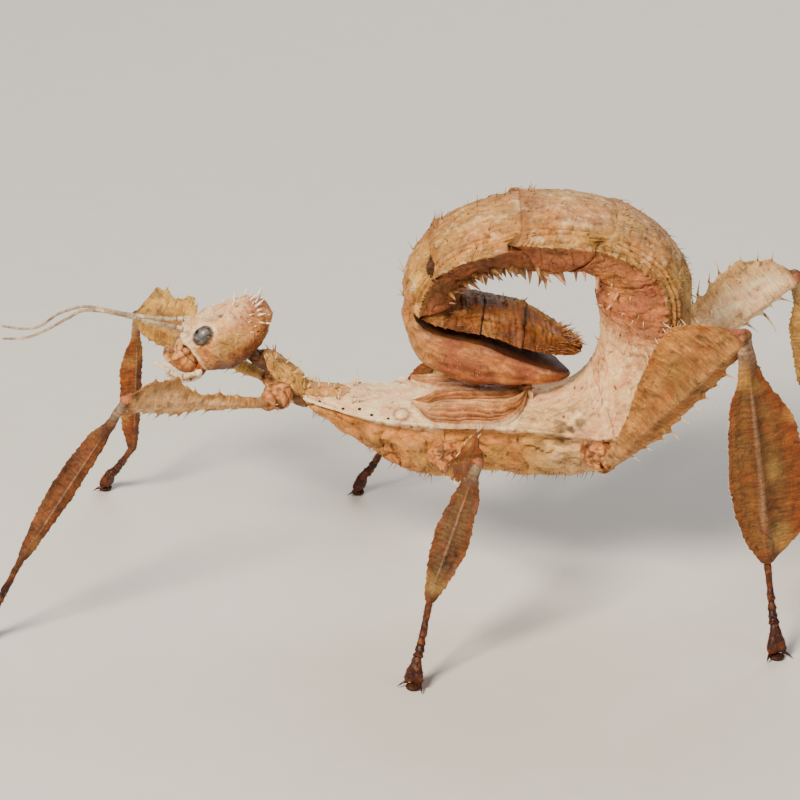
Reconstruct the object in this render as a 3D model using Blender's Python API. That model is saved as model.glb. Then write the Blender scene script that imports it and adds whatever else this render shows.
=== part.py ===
"""Macleay's spectre stick insect, a life-size female with the abdomen curled over her back.

Sizes are in millimetres in the body frame: +X towards the tail, +Y to the insect's right, +Z up,
with the floor at z = 0 and the body's mid plane at y = 0. Objects are made in metres, and the
middle of the outline is moved to the origin.
"""

import math
import random

import bpy
import bmesh
from mathutils import Vector
from mathutils.bvhtree import BVHTree

MM = 0.001
CENTRE = Vector((5.29, -0.45, 0.0))  # middle of the outline, in the body frame
GAP = 0.3  # clearance between two plates that meet
SINK = 0.5  # how deep a spine's root sits in its plate
SEED = 11

# Colours of the dry-leaf livery, as linear red, green and blue
COLOURS = {
    "plate": (0.50, 0.30, 0.17),
    "tergite": (0.52, 0.31, 0.20),
    "terminal": (0.30, 0.16, 0.07),
    "wing_pad": (0.48, 0.24, 0.12),
    "limb": (0.42, 0.24, 0.10),
    "tarsus": (0.22, 0.09, 0.04),
    "mouth": (0.30, 0.14, 0.07),
    "eye": (0.16, 0.14, 0.13),
    "feeler": (0.42, 0.34, 0.27),
}

# Loop of the abdomen: the belly line is an oval that widens towards the base
LOOP_CENTRE = Vector((18.8, 0.0, 42.4))
LOOP_HALF_LENGTH = 18.3
LOOP_RISE = 12.0  # from the centre up to the belly line
LOOP_FALL = 12.9  # from the centre down, before the widening
BASE_WIDENING = 0.9  # extra share of the radius at BASE_ANGLE below the tail
BASE_ANGLE = 75.0
BASE_POWER = 1.9

# Segment ends as angles round the loop, degrees, 0 towards the tail and 90 up
SEGMENT_ANGLES = {
    "abdomen_2": (-70.0, -27.0),
    "abdomen_3": (-27.0, 20.0),
    "abdomen_4": (20.0, 62.0),
    "abdomen_5": (62.0, 103.0),
    "abdomen_6": (103.0, 150.0),
    "abdomen_7": (150.0, 187.0),
}

# Section of the abdomen by loop angle: half width, back height, belly depth, lobe reach, lobe droop
ABDOMEN_SECTIONS = (
    (-70.0, 7.5, 7.6, 4.6, 0.3, 0.0),
    (-27.0, 8.0, 9.0, 3.6, 0.3, 0.0),
    (0.0, 8.2, 8.2, 3.6, 0.5, 0.1),
    (45.0, 8.1, 7.0, 3.1, 1.0, 0.4),
    (90.0, 7.8, 6.6, 2.3, 1.7, 0.9),
    (125.0, 7.7, 6.2, 2.1, 2.1, 1.4),
    (150.0, 7.4, 5.7, 2.0, 1.5, 1.1),
    (187.0, 6.6, 5.0, 2.0, 0.4, 0.2),
)

# Extra reach of the leaf-like side lobes at the hind corner of a segment
LOBE_REACH = {"abdomen_4": 0.5, "abdomen_5": 1.3, "abdomen_6": 1.8, "abdomen_7": 0.4}
LOBE_EDGE = 0.22  # half the thickness of a lobe's rim

# Tip of the abdomen: margin point x and z, direction of the back x and z, half width, back, belly
TERMINAL_STATIONS = (
    (2.8, 40.7, 0.99, 0.12, 6.3, 4.4, 0.5),
    (4.0, 39.9, 0.95, 0.32, 6.1, 3.6, 0.5),
    (5.8, 39.2, 0.78, 0.62, 5.9, 2.8, 0.6),
    (8.0, 38.7, 0.38, 0.93, 5.6, 2.3, 0.6),
    (10.1, 38.3, 0.0, 1.0, 5.4, 2.4, 0.6),
    (13.0, 37.2, 0.0, 1.0, 5.2, 3.2, 0.6),
    (15.4, 36.2, 0.0, 1.0, 5.0, 3.8, 0.6),
    (18.6, 35.0, 0.0, 1.0, 4.1, 3.4, 0.6),
    (20.6, 34.4, 0.0, 1.0, 3.2, 2.6, 0.6),
    (22.6, 34.0, 0.1, 0.99, 1.8, 1.2, 0.5),
)
TERMINAL_NODES = {"abdomen_8": (0, 4), "abdomen_9": (4, 6), "abdomen_10": (6, 9)}

# Boat-shaped plate under the tip: rim point, direction away from the rim, half width, depth
OPERCULUM_STATIONS = (
    (1.7, 40.2, -0.97, -0.24, 6.2, 1.4),
    (3.3, 38.6, -0.72, -0.69, 6.0, 3.2),
    (5.6, 37.6, -0.45, -0.89, 5.7, 5.8),
    (9.6, 36.6, -0.08, -1.0, 5.4, 7.1),
    (13.0, 35.4, 0.0, -1.0, 5.0, 6.0),
    (16.6, 34.0, 0.0, -1.0, 4.2, 4.6),
    (19.6, 32.9, 0.0, -1.0, 3.0, 3.2),
    (21.6, 31.6, 0.0, -1.0, 1.2, 1.3),
)

# Thorax: margin x and z, direction of the back x and z, half width, back height, belly depth
MESOTHORAX_STATIONS = (
    (-12.0, 27.6, 0.0, 1.0, 2.0, 1.5, 1.9),
    (-9.0, 27.0, 0.0, 1.0, 3.2, 1.3, 3.1),
    (-6.0, 26.6, 0.0, 1.0, 4.4, 1.2, 4.8),
    (-3.0, 26.3, 0.0, 1.0, 5.3, 1.2, 6.7),
    (0.0, 26.1, 0.0, 1.0, 5.9, 1.3, 8.4),
    (3.4, 26.0, 0.0, 1.0, 6.3, 1.5, 9.5),
    (7.2, 25.9, 0.0, 1.0, 6.4, 1.7, 9.4),
)
METATHORAX_STATIONS = (
    (7.5, 25.9, 0.0, 1.0, 6.4, 1.7, 9.2),
    (11.0, 25.7, 0.0, 1.0, 6.5, 1.7, 8.4),
    (16.0, 25.4, 0.0, 1.0, 6.7, 1.9, 8.4),
    (20.0, 25.0, -0.10, 1.0, 6.9, 2.9, 8.2),
    (24.2, 24.5, -0.27, 0.96, 7.2, 5.0, 7.1),
    (27.2, 24.3, -0.46, 0.89, 7.4, 7.2, 4.9),
)
PROTHORAX_STATIONS = (
    (-16.9, 31.6, -0.35, 0.94, 2.0, 2.0, 1.8),
    (-16.2, 31.0, -0.15, 1.0, 2.6, 2.3, 2.4),
    (-14.9, 30.0, 0.05, 1.0, 2.8, 2.1, 2.8),
    (-13.4, 29.0, 0.10, 1.0, 2.5, 1.9, 2.8),
    (-12.5, 28.3, 0.10, 1.0, 2.1, 1.7, 2.5),
)

# Head: distance from the mouth end, half width, crown side, throat side
HEAD_BASE = Vector((-26.4, 0.0, 33.4))
HEAD_AXIS = Vector((0.81, 0.0, 0.586))
HEAD_STATIONS = (
    (-0.3, 1.7, 2.4, 1.5),
    (0.4, 2.7, 3.5, 2.9),
    (1.6, 3.4, 3.9, 4.0),
    (3.4, 3.8, 3.8, 4.6),
    (5.4, 3.8, 3.4, 4.6),
    (7.4, 3.4, 2.8, 4.1),
    (9.0, 2.8, 2.1, 3.4),
    (10.3, 2.0, 1.2, 2.5),
    (11.2, 1.1, 0.3, 1.5),
)
EYE_PLACE = (2.4, -3.6, 1.3)  # along the head, to the left, towards the crown
EYE_RADIUS = 1.15
EYE_HEIGHT = 0.75

# Legs: coxa root, coxa tip, knee, ankle and foot, then the sides that the flats of femur and tibia face
LEGS = {
    "fore_left": ((-14.9, -2.3, 28.6), (-17.3, -5.6, 28.6), (-34.4, -14.5, 32.8), (-48.1, -16.0, 11.7),
                  (-53.6, -17.4, 0.0), (0.1, -0.9, -0.35), (0.1, -0.93, 0.35)),
    "fore_right": ((-14.9, 2.3, 28.4), (-17.4, 5.6, 27.2), (-35.5, 20.0, 30.0), (-37.2, 25.6, 7.8),
                   (-40.9, 28.2, 0.0), (0.1, 0.9, -0.35), (-0.35, 0.87, -0.35)),
    "mid_left": ((5.2, -4.0, 21.6), (6.2, -8.0, 20.6), (9.7, -22.2, 27.9), (3.7, -26.0, 10.6),
                 (1.9, -29.0, 0.0), (-0.91, -0.01, 0.40), (-0.3, -0.9, 0.3)),
    "mid_right": ((5.2, 4.0, 21.6), (5.4, 8.0, 20.6), (5.6, 21.4, 25.0), (-1.6, 25.2, 9.2),
                  (-5.4, 27.0, 0.0), (-0.91, 0.01, 0.40), (-0.3, 0.9, 0.3)),
    "hind_left": ((25.0, -4.6, 22.0), (26.6, -8.9, 21.6), (42.2, -19.2, 43.6), (46.6, -17.4, 12.0),
                  (47.8, -21.0, 0.0), (0.2, -0.92, 0.35), (0.2, -0.92, 0.35)),
    "hind_right": ((25.0, 4.6, 22.0), (27.4, 8.9, 21.8), (52.0, 12.5, 38.7), (61.0, 22.4, 11.0),
                   (64.0, 25.0, 0.0), (0.3, 0.85, 0.6), (0.2, 0.92, 0.35)),
}

# Leaf outline of a limb: share of its length, reach on the outer side of the knee, and on the inner
FEMUR_OUTLINES = {
    "fore": ((0.0, 0.7, 0.7), (0.25, 1.0, 0.9), (0.5, 1.7, 1.7), (0.62, 2.5, 1.9), (0.7, 4.3, 1.9),
             (0.8, 3.9, 2.1), (0.9, 4.2, 2.0), (0.95, 2.6, 1.4), (1.0, 0.8, 0.8)),
    "fore_right": ((0.0, 0.7, 0.7), (0.25, 1.0, 0.9), (0.5, 1.8, 1.7), (0.6, 3.0, 1.9), (0.67, 5.4, 2.0),
                   (0.8, 4.4, 2.2), (0.92, 3.8, 2.0), (0.98, 2.8, 1.2), (1.0, 0.9, 0.8)),
    "mid": ((0.0, 0.7, 0.7), (0.2, 1.2, 1.2), (0.45, 2.6, 1.9), (0.65, 4.6, 2.3), (0.8, 3.6, 2.2),
            (0.92, 1.8, 1.5), (1.0, 0.8, 0.8)),
    "hind": ((0.0, 0.9, 0.9), (0.12, 1.4, 1.5), (0.28, 2.7, 2.1), (0.47, 5.0, 2.1), (0.7, 7.1, 2.0),
             (0.83, 7.2, 1.5), (0.94, 4.9, 1.0), (1.0, 2.4, 0.9)),
}
TIBIA_OUTLINES = {
    "fore": ((0.0, 0.6, 0.6), (0.12, 0.8, 0.7), (0.22, 1.6, 0.9), (0.4, 2.3, 1.1), (0.6, 2.3, 1.2),
             (0.8, 1.7, 1.0), (0.94, 1.0, 0.8), (1.0, 0.6, 0.6)),
    "mid": ((0.0, 0.6, 0.6), (0.1, 0.7, 0.7), (0.25, 1.7, 1.6), (0.5, 2.4, 2.3), (0.75, 2.0, 1.9),
            (0.93, 1.0, 1.0), (1.0, 0.6, 0.6)),
    "hind": ((0.0, 0.9, 0.9), (0.13, 1.8, 1.3), (0.2, 2.5, 1.8), (0.27, 3.5, 2.8), (0.38, 5.3, 3.3),
             (0.62, 6.1, 4.0), (0.78, 5.8, 3.4), (0.9, 4.6, 2.5), (0.97, 2.5, 1.4), (1.0, 1.0, 0.9)),
}
TEETH = {"fore": 10, "mid": 8, "hind": 12}
FEMUR_TOOTH = {"fore": 0.45, "mid": 0.45, "hind": 0.8}
TIBIA_TOOTH = 0.15
CORE_RADIUS = {"fore": 0.75, "mid": 0.7, "hind": 1.0}
EDGE_HALF_THICKNESS = 0.26

ANTENNAE = {
    "antenna_left": ((-27.3, -1.7, 37.1), (-28.6, -2.1, 37.6), (-30.6, -2.6, 38.3), (-33.0, -3.1, 39.1),
                     (-36.0, -3.6, 40.1), (-38.2, -3.8, 40.6), (-40.4, -4.0, 40.7), (-42.3, -4.1, 39.7),
                     (-45.6, -4.3, 37.9), (-48.0, -4.4, 37.1), (-50.7, -4.6, 37.1)),
    "antenna_right": ((-27.3, 1.7, 37.2), (-28.6, 2.2, 37.0), (-30.6, 2.8, 36.8), (-33.7, 3.2, 37.0),
                      (-36.6, 3.5, 37.4), (-39.7, 3.7, 38.0), (-41.6, 3.7, 38.0), (-44.3, 3.6, 37.1),
                      (-46.7, 3.4, 35.5), (-48.9, 3.2, 35.2), (-51.8, 3.0, 35.7)),
}
ANTENNA_RADII = (0.42, 0.24)


def clear_scene():
    for old in list(bpy.data.objects):
        bpy.data.objects.remove(old)


def material(name):
    made = bpy.data.materials.get(name) or bpy.data.materials.new(name)
    made.use_nodes = True
    shader = made.node_tree.nodes["Principled BSDF"]
    shader.inputs["Base Color"].default_value = (*COLOURS[name], 1.0)
    shader.inputs["Roughness"].default_value = 0.3 if name == "eye" else 0.65
    shader.inputs["Metallic"].default_value = 0.0
    return made


SHARP_ANGLE = math.radians(50)


def add_object(name, bm, look, origin):
    """One closed object, its own origin at the joint or root point that it grows from."""
    bmesh.ops.recalc_face_normals(bm, faces=bm.faces)
    for vert in bm.verts:
        vert.co = (vert.co - origin) * MM
    mesh = bpy.data.meshes.new(name)
    bm.to_mesh(mesh)
    bm.free()
    mesh.shade_smooth()
    mesh.set_sharp_from_angle(angle=SHARP_ANGLE)
    mesh.materials.append(material(look))
    made = bpy.data.objects.new(name, mesh)
    made.location = (origin - CENTRE) * MM
    bpy.context.scene.collection.objects.link(made)
    return made


def loft(rings, root=None):
    """A closed skin over rings of points. Both halves of a ring are split into triangles alike."""
    bm = bmesh.new()
    add_loft(bm, rings, root)
    return bm


def add_loft(bm, rings, root=None):
    count = len(rings[0])
    loops = [[bm.verts.new(point) for point in ring] for ring in rings]
    for near, far in zip(loops, loops[1:]):
        for i in range(count):
            j = (i + 1) % count
            if i < count // 2:
                bm.faces.new((near[i], near[j], far[j]))
                bm.faces.new((near[i], far[j], far[i]))
            else:
                bm.faces.new((near[i], near[j], far[i]))
                bm.faces.new((near[j], far[j], far[i]))
    caps = [bm.faces.new(loops[-1])]
    if root is None:
        caps.append(bm.faces.new(list(reversed(loops[0]))))
    else:
        hub = bm.verts.new(root)
        for i in range(count):
            bm.faces.new((loops[0][(i + 1) % count], loops[0][i], hub))
    bmesh.ops.triangulate(bm, faces=caps)


def blend(rows, at):
    """The row of a table at a place between its rows, the first column being the place."""
    if at <= rows[0][0]:
        return rows[0][1:]
    for low, high in zip(rows, rows[1:]):
        if at <= high[0]:
            part = (at - low[0]) / (high[0] - low[0])
            return tuple(a + (b - a) * part for a, b in zip(low[1:], high[1:]))
    return rows[-1][1:]


BACK_STEPS = 8
BELLY_STEPS = 6


def section(centre, back, half_width, height, depth, lobe=0.15, droop=0.0, side_power=1.0):
    """A plate section: an arched back, a belly, and a thin lobe or ridge at each side."""
    side = Vector((0.0, 1.0, 0.0))
    edge = min(0.3, 0.25 * min(height, depth))
    rim = min(LOBE_EDGE, 0.6 * edge)
    tip = half_width + lobe
    points = [centre + side * tip + back * (droop + rim)]
    for step in range(BACK_STEPS + 1):
        angle = math.pi * step / BACK_STEPS
        across = half_width * math.cos(angle)
        points.append(centre + side * across + back * (edge + (height - edge) * math.sin(angle)))
    points.append(centre - side * tip + back * (droop + rim))
    points.append(centre - side * tip + back * (droop - rim))
    for step in range(BELLY_STEPS + 1):
        angle = math.pi * step / BELLY_STEPS
        reach = abs(math.cos(angle)) ** side_power
        across = -half_width * math.copysign(reach, math.cos(angle))
        points.append(centre + side * across - back * (edge + (depth - edge) * math.sin(angle)))
    points.append(centre + side * tip + back * (droop - rim))
    return points


def station_rings(stations, lobe=0.2, side_power=1.0):
    rings = []
    for x, z, back_x, back_z, half_width, height, depth in stations:
        back = Vector((back_x, 0.0, back_z)).normalized()
        centre = Vector((x, 0.0, z))
        rings.append(section(centre, back, half_width, height, depth, lobe, 0.0, side_power))
    return rings


def belly_point(degrees):
    below = max(0.0, -degrees) / BASE_ANGLE
    scale = 1.0 + BASE_WIDENING * below ** BASE_POWER
    angle = math.radians(degrees)
    half_height = LOOP_RISE if degrees > 0 else LOOP_FALL
    reach = Vector((LOOP_HALF_LENGTH * math.cos(angle), 0.0, half_height * math.sin(angle)))
    return LOOP_CENTRE + reach * scale


INNER_TRIM = 2.8  # the back of a ring is nearer the loop's centre, where gaps close up


def abdomen_frame(name, part):
    """Centre, back direction and section sizes at a place along a segment of the curled abdomen."""
    first, last = SEGMENT_ANGLES[name]
    length = (belly_point(last) - belly_point(first)).length
    trim = (last - first) * 0.5 * GAP / length * INNER_TRIM
    degrees = first + trim + (last - first - 2 * trim) * part
    half_width, height, depth, lobe, droop = blend(ABDOMEN_SECTIONS, degrees)
    swell = 0.97 + 0.04 * part + 0.02 * math.sin(math.pi * part)
    belly = belly_point(degrees)
    back = (LOOP_CENTRE - belly).normalized()
    lobe += LOBE_REACH.get(name, 0.0) * part ** 1.5
    centre = belly + back * depth
    return centre, back, half_width * swell, height * swell, depth, lobe, droop


RINGS_PER_SEGMENT = 6


def make_abdomen():
    for name, (first, _) in SEGMENT_ANGLES.items():
        rings = []
        for step in range(RINGS_PER_SEGMENT):
            rings.append(section(*abdomen_frame(name, step / (RINGS_PER_SEGMENT - 1))))
        segment = add_object(name, loft(rings), "tergite", belly_point(first))
        add_spines(segment, abdomen_spines(name, tree_of(segment)))


def make_terminal():
    for name, (first, last) in TERMINAL_NODES.items():
        rings = station_rings(TERMINAL_STATIONS[first:last + 1], lobe=0.3)
        if first > 0:
            forward = (ring_middle(rings[1]) - ring_middle(rings[0])).normalized()
            rings[0] = [point + forward * GAP for point in rings[0]]
        plate = add_object(name, loft(rings), "terminal", ring_middle(rings[0]))
        if first > 0:
            add_spines(plate, terminal_spines(rings, tree_of(plate)))


def ring_middle(ring):
    return sum(ring, Vector()) / len(ring)


OPERCULUM_STEPS = 10


def make_operculum():
    side = Vector((0.0, 1.0, 0.0))
    rings = []
    for x, z, out_x, out_z, half_width, depth in OPERCULUM_STATIONS:
        rim = Vector((x, 0.0, z))
        out = Vector((out_x, 0.0, out_z)).normalized()
        ring = []
        for step in range(OPERCULUM_STEPS + 1):
            angle = math.pi * step / OPERCULUM_STEPS
            across = half_width * math.copysign(abs(math.cos(angle)) ** 0.8, math.cos(angle))
            ring.append(rim + side * across + out * depth * math.sin(angle))
        ring.append(rim - side * half_width * 0.5)
        ring.append(rim + side * half_width * 0.5)
        rings.append(ring)
    add_object("operculum", loft(rings), "tergite", ring_middle(rings[0]))


def make_thorax():
    rings = station_rings(PROTHORAX_STATIONS)
    add_object("prothorax", loft(rings), "plate", ring_middle(rings[0]))
    rings = station_rings(MESOTHORAX_STATIONS, lobe=0.35, side_power=0.8)
    meso = add_object("mesothorax", loft(rings), "plate", Vector((-12.0, 0.0, 28.8)))
    rings = station_rings(METATHORAX_STATIONS, lobe=0.3, side_power=0.8)
    meta = add_object("metathorax", loft(rings), "plate", Vector((7.5, 0.0, 26.4)))
    return meso, meta


def head_frame():
    axis = HEAD_AXIS.normalized()
    crown = Vector((-axis.z, 0.0, axis.x))
    return axis, crown


def make_head():
    axis, crown = head_frame()
    rings = []
    for along, half_width, height, depth in HEAD_STATIONS:
        rings.append(section(HEAD_BASE + axis * along, crown, half_width, height, depth, 0.0))
    return add_object("head", loft(rings), "plate", HEAD_BASE + axis * 3.0)


def tree_of(obj):
    """A search tree of an object's faces, in the body frame."""
    place = obj.location
    points = [(vert.co + place) / MM + CENTRE for vert in obj.data.vertices]
    faces = [tuple(face.vertices) for face in obj.data.polygons]
    return BVHTree.FromPolygons(points, faces)


def union(obj, helpers):
    """Fuses helper objects into a piece, and keeps the largest closed surface."""
    collection = bpy.data.collections.new("pieces of " + obj.name)
    bpy.context.scene.collection.children.link(collection)
    for helper in helpers:
        collection.objects.link(helper)
    fuse = obj.modifiers.new("Union", "BOOLEAN")
    fuse.operation = "UNION"
    fuse.operand_type = "COLLECTION"
    fuse.collection = collection
    fuse.solver = "EXACT"
    bpy.context.view_layer.update()
    fused = bpy.data.meshes.new_from_object(obj.evaluated_get(bpy.context.evaluated_depsgraph_get()))
    obj.modifiers.remove(fuse)
    keep_largest(fused)
    fused.shade_smooth()
    fused.set_sharp_from_angle(angle=SHARP_ANGLE)
    obj.data = fused
    for helper in helpers:
        bpy.data.objects.remove(helper)
    bpy.data.collections.remove(collection)


def keep_largest(mesh):
    bm = bmesh.new()
    bm.from_mesh(mesh)
    bmesh.ops.triangulate(bm, faces=bm.faces)
    left = set(bm.faces)
    islands = []
    while left:
        island, front = set(), [left.pop()]
        while front:
            face = front.pop()
            island.add(face)
            for edge in face.edges:
                for other in edge.link_faces:
                    if other in left:
                        left.remove(other)
                        front.append(other)
        islands.append(island)
    islands.sort(key=lambda island: sum(face.calc_area() for face in island))
    scraps = [face for island in islands[:-1] for face in island]
    bmesh.ops.delete(bm, geom=scraps, context="FACES")
    bm.to_mesh(mesh)
    bm.free()


SPINE_SIDES = 5


def add_spines(obj, spines):
    """Joins tapered spines to a piece. Each is a root point, a direction, a length and a root radius."""
    if not spines:
        return
    bm = bmesh.new()
    for root, direction, length, radius in spines:
        direction = direction.normalized()
        sunk = root - direction * SINK
        root_radius = radius * (length + SINK) / length
        ring = round_ring(sunk, direction, sideways(direction), root_radius, SPINE_SIDES)
        base = [bm.verts.new(point) for point in ring]
        tip = bm.verts.new(root + direction * length)
        bm.faces.new(list(reversed(base)))
        for i in range(SPINE_SIDES):
            bm.faces.new((base[i], base[(i + 1) % SPINE_SIDES], tip))
    place = obj.location / MM + CENTRE
    helper = add_object("spines", bm, "plate", place)
    bpy.context.scene.collection.objects.unlink(helper)
    helper.data.materials.clear()
    union(obj, [helper])


def sideways(direction):
    """Any direction well off the given one, to start a ring from."""
    return Vector((0.0, 1.0, 0.3)) if abs(direction.y) < 0.7 else Vector((1.0, 0.0, 0.3))


def surface_from(inside, direction, tree):
    """Where a ray from inside a piece leaves it, and the outward normal there."""
    direction = direction.normalized()
    hit, normal, _, _ = tree.ray_cast(inside, direction)
    if hit is None:
        return inside, direction
    return hit, normal if normal.dot(direction) > 0 else -normal


# Spines of the back of the head: place along it, angle from the crown, length
HEAD_SPINES = ((6.4, 30, 0.7), (8.0, 16, 1.0), (8.2, 58, 0.9), (9.2, 36, 1.2), (10.1, 14, 1.2),
               (10.5, 52, 1.8), (10.2, 92, 1.2), (10.2, 132, 1.1))
# Spines and warts of the thorax: place along the body, angle from straight up, length
PROTHORAX_SPINES = ((-16.3, 24, 1.0), (-15.6, 58, 0.8), (-14.8, 26, 1.2), (-13.4, 22, 1.3), (-13.2, 56, 0.8))
MESOTHORAX_SPINES = ((-11.0, 22, 1.4), (-6.3, 25, 2.1), (-8.6, 86, 0.5), (-5.5, 86, 0.5), (-1.5, 86, 0.5),
                     (1.6, 86, 0.5), (-1.0, 160, 0.8), (2.0, 140, 0.8), (4.8, 160, 0.9))
METATHORAX_SPINES = ((9.5, 150, 0.8), (11.5, 166, 0.9), (14.0, 148, 0.8), (16.5, 163, 0.9), (19.5, 148, 0.8),
                     (22.5, 160, 0.8), (12.0, 92, 0.5), (17.5, 92, 0.6), (23.5, 45, 0.7))
SPINE_RADIUS_SHARE = 0.26
SPINE_RADII = (0.2, 0.42)  # thinnest and stoutest root
WART_RADIUS = 0.28


def spine_radius(length):
    return max(SPINE_RADII[0], min(SPINE_RADII[1], length * SPINE_RADIUS_SHARE))


def head_spines(tree):
    axis, crown = head_frame()
    side = Vector((0.0, 1.0, 0.0))
    spines = []
    for along, degrees, length in HEAD_SPINES:
        for mirror in (-1, 1):
            angle = math.radians(degrees)
            out = crown * math.cos(angle) + side * math.sin(angle) * mirror + axis * 0.35
            inside = HEAD_BASE + axis * (along - 0.8)
            root, normal = surface_from(inside, out, tree)
            grown = length * random.uniform(0.85, 1.1)
            spines.append((root, normal + axis * 0.4, grown, spine_radius(grown)))
    return spines


def thorax_spines(rows, stations, tree):
    """Pairs of spines on a thorax plate, leaning a little towards the tail."""
    spines = []
    rows_z = [(station[0], station[1]) for station in stations]
    for x, degrees, length in rows:
        for mirror in (-1, 1):
            angle = math.radians(degrees + random.uniform(-4, 4))
            out = Vector((0.0, math.sin(angle) * mirror, math.cos(angle)))
            middle = blend(rows_z, x)[0] - 0.5
            root, normal = surface_from(Vector((x, 0.0, middle)), out, tree)
            grown = length * random.uniform(0.85, 1.15)
            lean = Vector((0.25, 0.0, 0.15)) if degrees < 100 else Vector((0.15, 0.0, -0.1))
            spines.append((root, normal + lean, grown, spine_radius(grown)))
    return spines


OUTER_SPINES = 9
INNER_SPINE_LENGTH = {"abdomen_2": 0.8, "abdomen_3": 1.7, "abdomen_4": 2.0, "abdomen_5": 2.0,
                      "abdomen_6": 1.4, "abdomen_7": 0.9}
EDGE_TEETH = 4


def abdomen_spines(name, tree):
    """Scattered spines on the outer side, pairs on the inner side, and teeth along both side lobes."""
    side = Vector((0.0, 1.0, 0.0))
    spines = []
    for i in range(OUTER_SPINES):
        part = 0.14 + 0.76 * (i + random.uniform(0.2, 0.8)) / OUTER_SPINES
        across = ((i * 4) % OUTER_SPINES + random.uniform(0.2, 0.8)) / OUTER_SPINES * 2 - 1
        centre, back, half_width, _, depth, _, _ = abdomen_frame(name, part)
        tail = back.cross(side)
        inside = centre + side * half_width * across * 0.75
        root, normal = surface_from(inside, -back, tree)
        length = random.uniform(0.6, 1.15)
        spines.append((root, normal + tail * 0.3, length, spine_radius(length)))
    for part, across, share in ((0.78, 0.2, 1.0), (0.42, 0.42, 0.75)):
        centre, back, half_width, _, _, _, _ = abdomen_frame(name, part)
        tail = back.cross(side)
        for mirror in (-1, 1):
            root, normal = surface_from(centre + side * half_width * across * mirror, back, tree)
            length = INNER_SPINE_LENGTH[name] * share * random.uniform(0.85, 1.1)
            spines.append((root, normal + tail * 0.3, length, spine_radius(length)))
    for i in range(EDGE_TEETH):
        part = 0.14 + 0.76 * (i + 0.5) / EDGE_TEETH
        centre, back, half_width, _, _, lobe, droop = abdomen_frame(name, part)
        tail = back.cross(side)
        for mirror in (-1, 1):
            root = centre + side * mirror * (half_width + lobe - 0.05) + back * droop
            length = random.uniform(0.6, 1.0) + 0.15 * LOBE_REACH.get(name, 0.0)
            spines.append((root, side * mirror + tail * 0.45 + back * 0.25, length, WART_RADIUS))
    return spines


TERMINAL_SPINES = ((0.4, 35, 0.6), (0.7, 70, 0.6))


def terminal_spines(rings, tree):
    """Low spines on the plates at the tip."""
    side = Vector((0.0, 1.0, 0.0))
    start, end = ring_middle(rings[0]), ring_middle(rings[-1])
    forward = (end - start).normalized()
    up = side.cross(forward)
    up = up if up.z > 0 else -up
    spines = []
    for part, degrees, length in TERMINAL_SPINES:
        for mirror in (-1, 1):
            angle = math.radians(degrees)
            out = up * math.cos(angle) + side * math.sin(angle) * mirror
            root, normal = surface_from(start.lerp(end, part), out, tree)
            spines.append((root, normal + forward * 0.5, length * random.uniform(0.8, 1.2), WART_RADIUS))
    return spines


APPROACH = 12.0  # how far off a point starts on its way in
MIN_SLANT = 0.45


def settle(point, direction, tree, gap=GAP):
    """The place where a point, coming in along a direction, stops a gap short of a surface."""
    start = point - direction * APPROACH
    hit, normal, _, _ = tree.ray_cast(start, direction)
    if hit is None:
        return point
    slant = max(MIN_SLANT, abs(normal.dot(direction)))
    return hit - direction * (gap / slant)


def settle_ring(ring, direction, tree, gap=GAP):
    """A root ring and its hub, each point resting a gap outside the highest surface near it."""
    hub = ring_middle(ring)
    settled = []
    for i, point in enumerate(ring):
        ahead = point.lerp(ring[(i + 1) % len(ring)], 0.5)
        behind = point.lerp(ring[i - 1], 0.5)
        levels = []
        inward = [point.lerp(hub, share) for share in (0.15, 0.3, 0.5)]
        for probe in (point, ahead, behind, ahead.lerp(hub, 0.2), behind.lerp(hub, 0.2), *inward):
            levels.append((settle(probe, direction, tree, gap) - probe).dot(direction))
        settled.append(point + direction * min(levels))
    levels = []
    for probe in (hub, *(hub.lerp(point, 0.35) for point in ring)):
        levels.append((settle(probe, direction, tree, gap) - probe).dot(direction))
    return settled, hub + direction * min(levels)


def side_vectors(axis, hint):
    normal = (hint - axis * hint.dot(axis)).normalized()
    return normal, axis.cross(normal).normalized()


def round_ring(centre, axis, hint, radius, sides=8, stretch=1.0):
    normal, across = side_vectors(axis, hint)
    ring = []
    for i in range(sides):
        angle = 2 * math.pi * i / sides
        ring.append(centre + normal * radius * math.cos(angle) + across * radius * stretch * math.sin(angle))
    return ring


COXA_PROFILE = ((0.0, 1.9), (0.35, 2.1), (0.7, 1.7), (1.0, 1.2))
COXA_TIP_RADIUS = 0.9
JOINT_STEP = 0.25  # from a limb's mitred end to its first full ring


def joint_plane(joint, before, after):
    """Normal of the plane that halves a joint, pointing into the limb that follows it."""
    back = (before - joint).normalized()
    ahead = (after - joint).normalized()
    return (ahead - back).normalized()


def mitred(joint, axis, plane, offsets):
    """Points of an end ring cut along a joint's plane, half a gap on its own side."""
    ring = []
    for offset in offsets:
        along = (GAP / 2 - offset.dot(plane)) / axis.dot(plane)
        ring.append(joint + offset + axis * along)
    return ring


def furthest(ring, joint, axis):
    return max((point - joint).dot(axis) for point in ring)


def make_coxa(name, root, tip, knee, hint, tree, size):
    axis = (tip - root).normalized()
    ring = round_ring(Vector(), axis, hint, COXA_TIP_RADIUS * size)
    last = mitred(tip, -axis, -joint_plane(tip, root, knee), ring)
    first, hub = settle_ring(round_ring(root, axis, hint, COXA_PROFILE[0][1] * size), -axis, tree)
    inner = max((point - root).dot(axis) for point in first) + JOINT_STEP
    outer = (tip - root).length - furthest(last, tip, -axis) - 0.15
    rings = [first]
    for part, radius in COXA_PROFILE:
        rings.append(round_ring(root + axis * (inner + (outer - inner) * part), axis, hint, radius * size))
    rings.append(last)
    add_object("coxa_" + name, loft(rings, hub), "limb", hub)


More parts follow.
